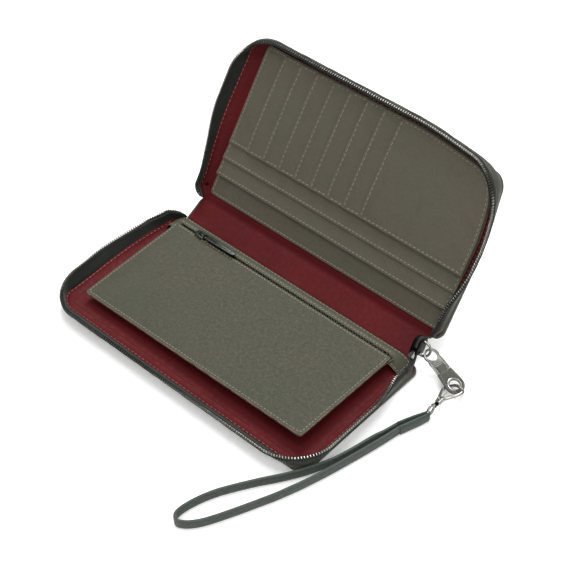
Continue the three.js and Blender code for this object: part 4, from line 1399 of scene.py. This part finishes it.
def snap_clasp():
    piece = Piece("clasp_body")
    hook = (
        (13.0, 0.6, 0), (11.0, 3.0, 0), (6.4, 6.9, 0), (4.2, 8.0, 0), (2.6, 7.2, 0), (1.1, 3.6, 0.7),
        (0.4, 0.4, 0), (1.5, -3.4, -1.0), (3.4, -4.7, -0.8), (5.3, -4.3, -0.3),
    )
    wire(piece, hook, 0.95, SILVER, CLASP, 96, 16, ((0, 0.2, 0.5, 0.9, 1), (1.15, 1.0, 0.95, 1.0, 1.15)))
    block = rounded_loop([
        (12.2, -2.3), (16.2, -1.7), (16.6, -0.6), (16.6, 0.9),
        (16.0, 1.7), (12.6, 2.0), (11.6, 1.4), (11.6, -0.3),
    ], 0.7)
    flat_plate(piece, [block], -1.1, 1.1, 0.35, SILVER, CLASP)
    piece.build("clasp", "clasp_frame")

    piece = Piece("clasp_gate_bar")
    turn = math.pi + math.radians(22)
    gate = Spot(CLASP([(11.9, -1.9, 0)])[0] / MM)
    gate.matrix = CLASP.matrix @ np.array(Matrix.Rotation(turn, 3, "Z"))
    bar = rounded_loop([
        (-0.7, -0.8), (0.8, -0.75), (5.4, -0.5), (6.0, 0.0), (5.4, 0.6), (0.8, 0.75), (-0.7, 0.7),
    ], 0.5)
    flat_plate(piece, [bar], -0.7, 0.7, 0.28, SILVER, gate)
    piece.build("clasp_gate", "clasp_gate")

    piece = Piece("clasp_rivet_head")
    profile = [(0.95, 1.0), (1.0, 1.4), (0.88, 1.75), (0.6, 1.95), (0.25, 2.02)]
    rings = [[(14 + r * math.cos(a), -0.4 + r * math.sin(a), z) for a in full_turn(24)] for r, z in profile]
    piece.tube(CLASP(np.array(rings)), SILVER)
    piece.build("clasp", "clasp_rivet", merge=0)

    piece = Piece("clasp_spring_coil")
    turns = np.linspace(0, 6.5 * math.tau, 150)
    coil = [(7.4 + 4.2 * t / turns[-1], -0.2 + 0.32 * math.cos(t), 0.32 * math.sin(t)) for t in turns]
    wire(piece, coil, 0.1, SILVER, CLASP, 150, 6, curved=False)
    piece.build("clasp", "clasp_gate_spring", merge=0)

    piece = Piece("swivel_ring")
    neck = (
        (16.75, 0.9), (16.9, 1.35), (17.4, 1.35), (17.7, 0.8),
        (18.2, 0.75), (18.5, 1.2), (19.2, 1.3), (19.6, 0.9),
    )
    rings = [[(x, r * math.cos(a), r * math.sin(a)) for a in full_turn(20)] for x, r in neck]
    piece.tube(CLASP_LEVEL(np.array(rings)), BLACK_METAL)
    angles = full_turn(56)
    section = circle(0.8, 12)
    rings = np.array([
        [(22.6 + (3.25 + x) * math.cos(a), y, (3.25 + x) * math.sin(a)) for x, y in section] for a in angles
    ])
    flat = np.array([[(a * 3.2, k * 0.4, 0) for k in range(12)] for a in angles])
    piece.grid(CLASP_LEVEL(rings), SILVER, flat, around=True, along=True)
    piece.build("wrist_strap", "strap_swivel", merge=0)


snap_clasp()


def strap_tab():
    """Leather tab folded round the swivel's ring and sewn over both ends of the strap."""
    piece = Piece("strap_tab")
    # x, y, half the width, half the height
    stations = [
        (118.9, -24.4, 1.45, 2.7), (117.9, -27.4, 1.6, 3.0), (116.6, -30.9, 1.8, 3.15),
        (115.3, -34.2, 1.95, 3.2), (113.9, -38.0, 2.05, 3.2), (112.6, -41.5, 2.1, 3.2),
    ]
    points = curve_through(stations, 34)
    path = np.array([row_point(x, y, STRAP_Z) for x, y, _, _ in points])
    along = unit(np.gradient(path, axis=0))
    side = unit(np.cross(along, UP))
    lengths = run_length(path)

    for sign, outer in ((1, 0.0), (-1, 0.45)):
        rings, flat = [], []
        for i, (_, _, h, z) in enumerate(points):
            z -= 0.05
            a, b = sign * (h - 1.3), sign * (h + outer)
            near, far = (a * 2 + b) / 3, (a + 2 * b) / 3
            ring = (
                (a, -z + 0.2), (a, z - 0.2), (near, z), (far, z), (b, z - 0.25), (b + sign * 0.08, 0),
                (b, -z + 0.25), (far, -z),
            )
            rings.append([path[i] + side[i] * x + UP * y for x, y in ring])
            flat.append([(lengths[i], y, 0) for _, y in ring])
        piece.tube(np.array(rings) * MM, STRAP, np.array(flat))

    # the bend of the tab round the ring
    section = (
        (0, -0.93), (0, 0.93), (0.4, 1.0), (0.9, 1.0), (1.25, 0.93), (1.25, -0.93), (0.9, -1.0), (0.4, -1.0),
    )
    half_width, half_height = points[0, 2:]
    bend = []
    for a in np.radians(np.linspace(-90, 90, 13)):
        bend.append([
            path[0] - along[0] * (math.cos(a) * (half_width - s) * 1.1)
            + side[0] * (math.sin(a) * (half_width - s)) + UP * (z * half_height)
            for s, z in section
        ])
    bend = np.array(bend)
    piece.tube(bend * MM, STRAP, flats(bend.shape, (np.arange(13) * -0.4)[:, None], bend[..., 2]))

    for sign in (-1, 1):
        face = path + side * (sign * (points[:, 2:3] + 0.05))
        rows = [face[6:] + UP * level for level in (-1.9, 1.9)]
        rows.append(np.array([face[-1] - along[-1] * 0.8 + UP * z for z in (-1.8, 1.8)]))
        for row in rows:
            outwards = side[6:] if len(row) > 2 else side[-1]
            stitches(piece, row * MM, outwards * sign, DARK_THREAD, 2.3, 1.6, 0.17, 0)
    return piece.build("wrist_strap", "strap_end_tab", merge=0)


tab_piece = strap_tab()


# ---- floor and light ----
def stage():
    mesh = bpy.data.meshes.new("floor")
    size = 4.0
    corners = ((-size, -size), (size, -size), (size, size), (-size, size))
    mesh.from_pydata([(x, y, -0.0006) for x, y in corners], [], [(0, 1, 2, 3)])
    floor = bpy.data.objects.new("floor", mesh)
    paper = Surface("paper", roughness=0.9, coordinates="object")
    tint = paper.between(paper.noise(0.01, 2.0), 0.3, 0.7)
    colour = paper.mix(tint, (0.92, 0.92, 0.92, 1), (0.95, 0.95, 0.95, 1))
    mesh.materials.append(paper.finish(
        colour, Specular_IOR_Level=0.1, Emission_Color=(1, 1, 1, 1), Emission_Strength=0.2,
    ))
    bpy.context.scene.collection.objects.link(floor)

    world = bpy.data.worlds.new("studio")
    world.use_nodes = True
    nodes, links = world.node_tree.nodes, world.node_tree.links
    sky = nodes.new("ShaderNodeTexCoord")
    height = nodes.new("ShaderNodeSeparateXYZ")
    links.new(sky.outputs["Generated"], height.inputs["Vector"])
    ramp = nodes.new("ShaderNodeValToRGB")
    links.new(height.outputs["Z"], ramp.inputs["Fac"])
    ramp.color_ramp.elements[0].color = (0.16, 0.16, 0.16, 1)
    ramp.color_ramp.elements[1].color = (1.0, 1.0, 1.0, 1)
    ramp.color_ramp.elements[0].position, ramp.color_ramp.elements[1].position = 0.15, 0.8
    links.new(ramp.outputs["Color"], nodes["Background"].inputs["Color"])
    nodes["Background"].inputs["Strength"].default_value = 0.85
    bpy.context.scene.world = world
    for name, place, target, width, power in (
        ("key", (-0.5, 0.7, 1.2), (0, 0.03, 0), 0.6, 17),
        ("fill", (0.9, -0.6, 0.9), (0, 0, 0.03), 0.8, 5),
        ("top", (0.1, 0.0, 1.5), (0, 0, 0), 0.7, 8),
    ):
        data = bpy.data.lights.new(name, "AREA")
        data.shape, data.size, data.energy = "DISK", width, power
        light = bpy.data.objects.new(name, data)
        light.location = place
        light.rotation_euler = (Vector(target) - Vector(place)).to_track_quat("-Z", "Y").to_euler()
        bpy.context.scene.collection.objects.link(light)
    bpy.context.scene.view_settings.view_transform = "Standard"


stage()
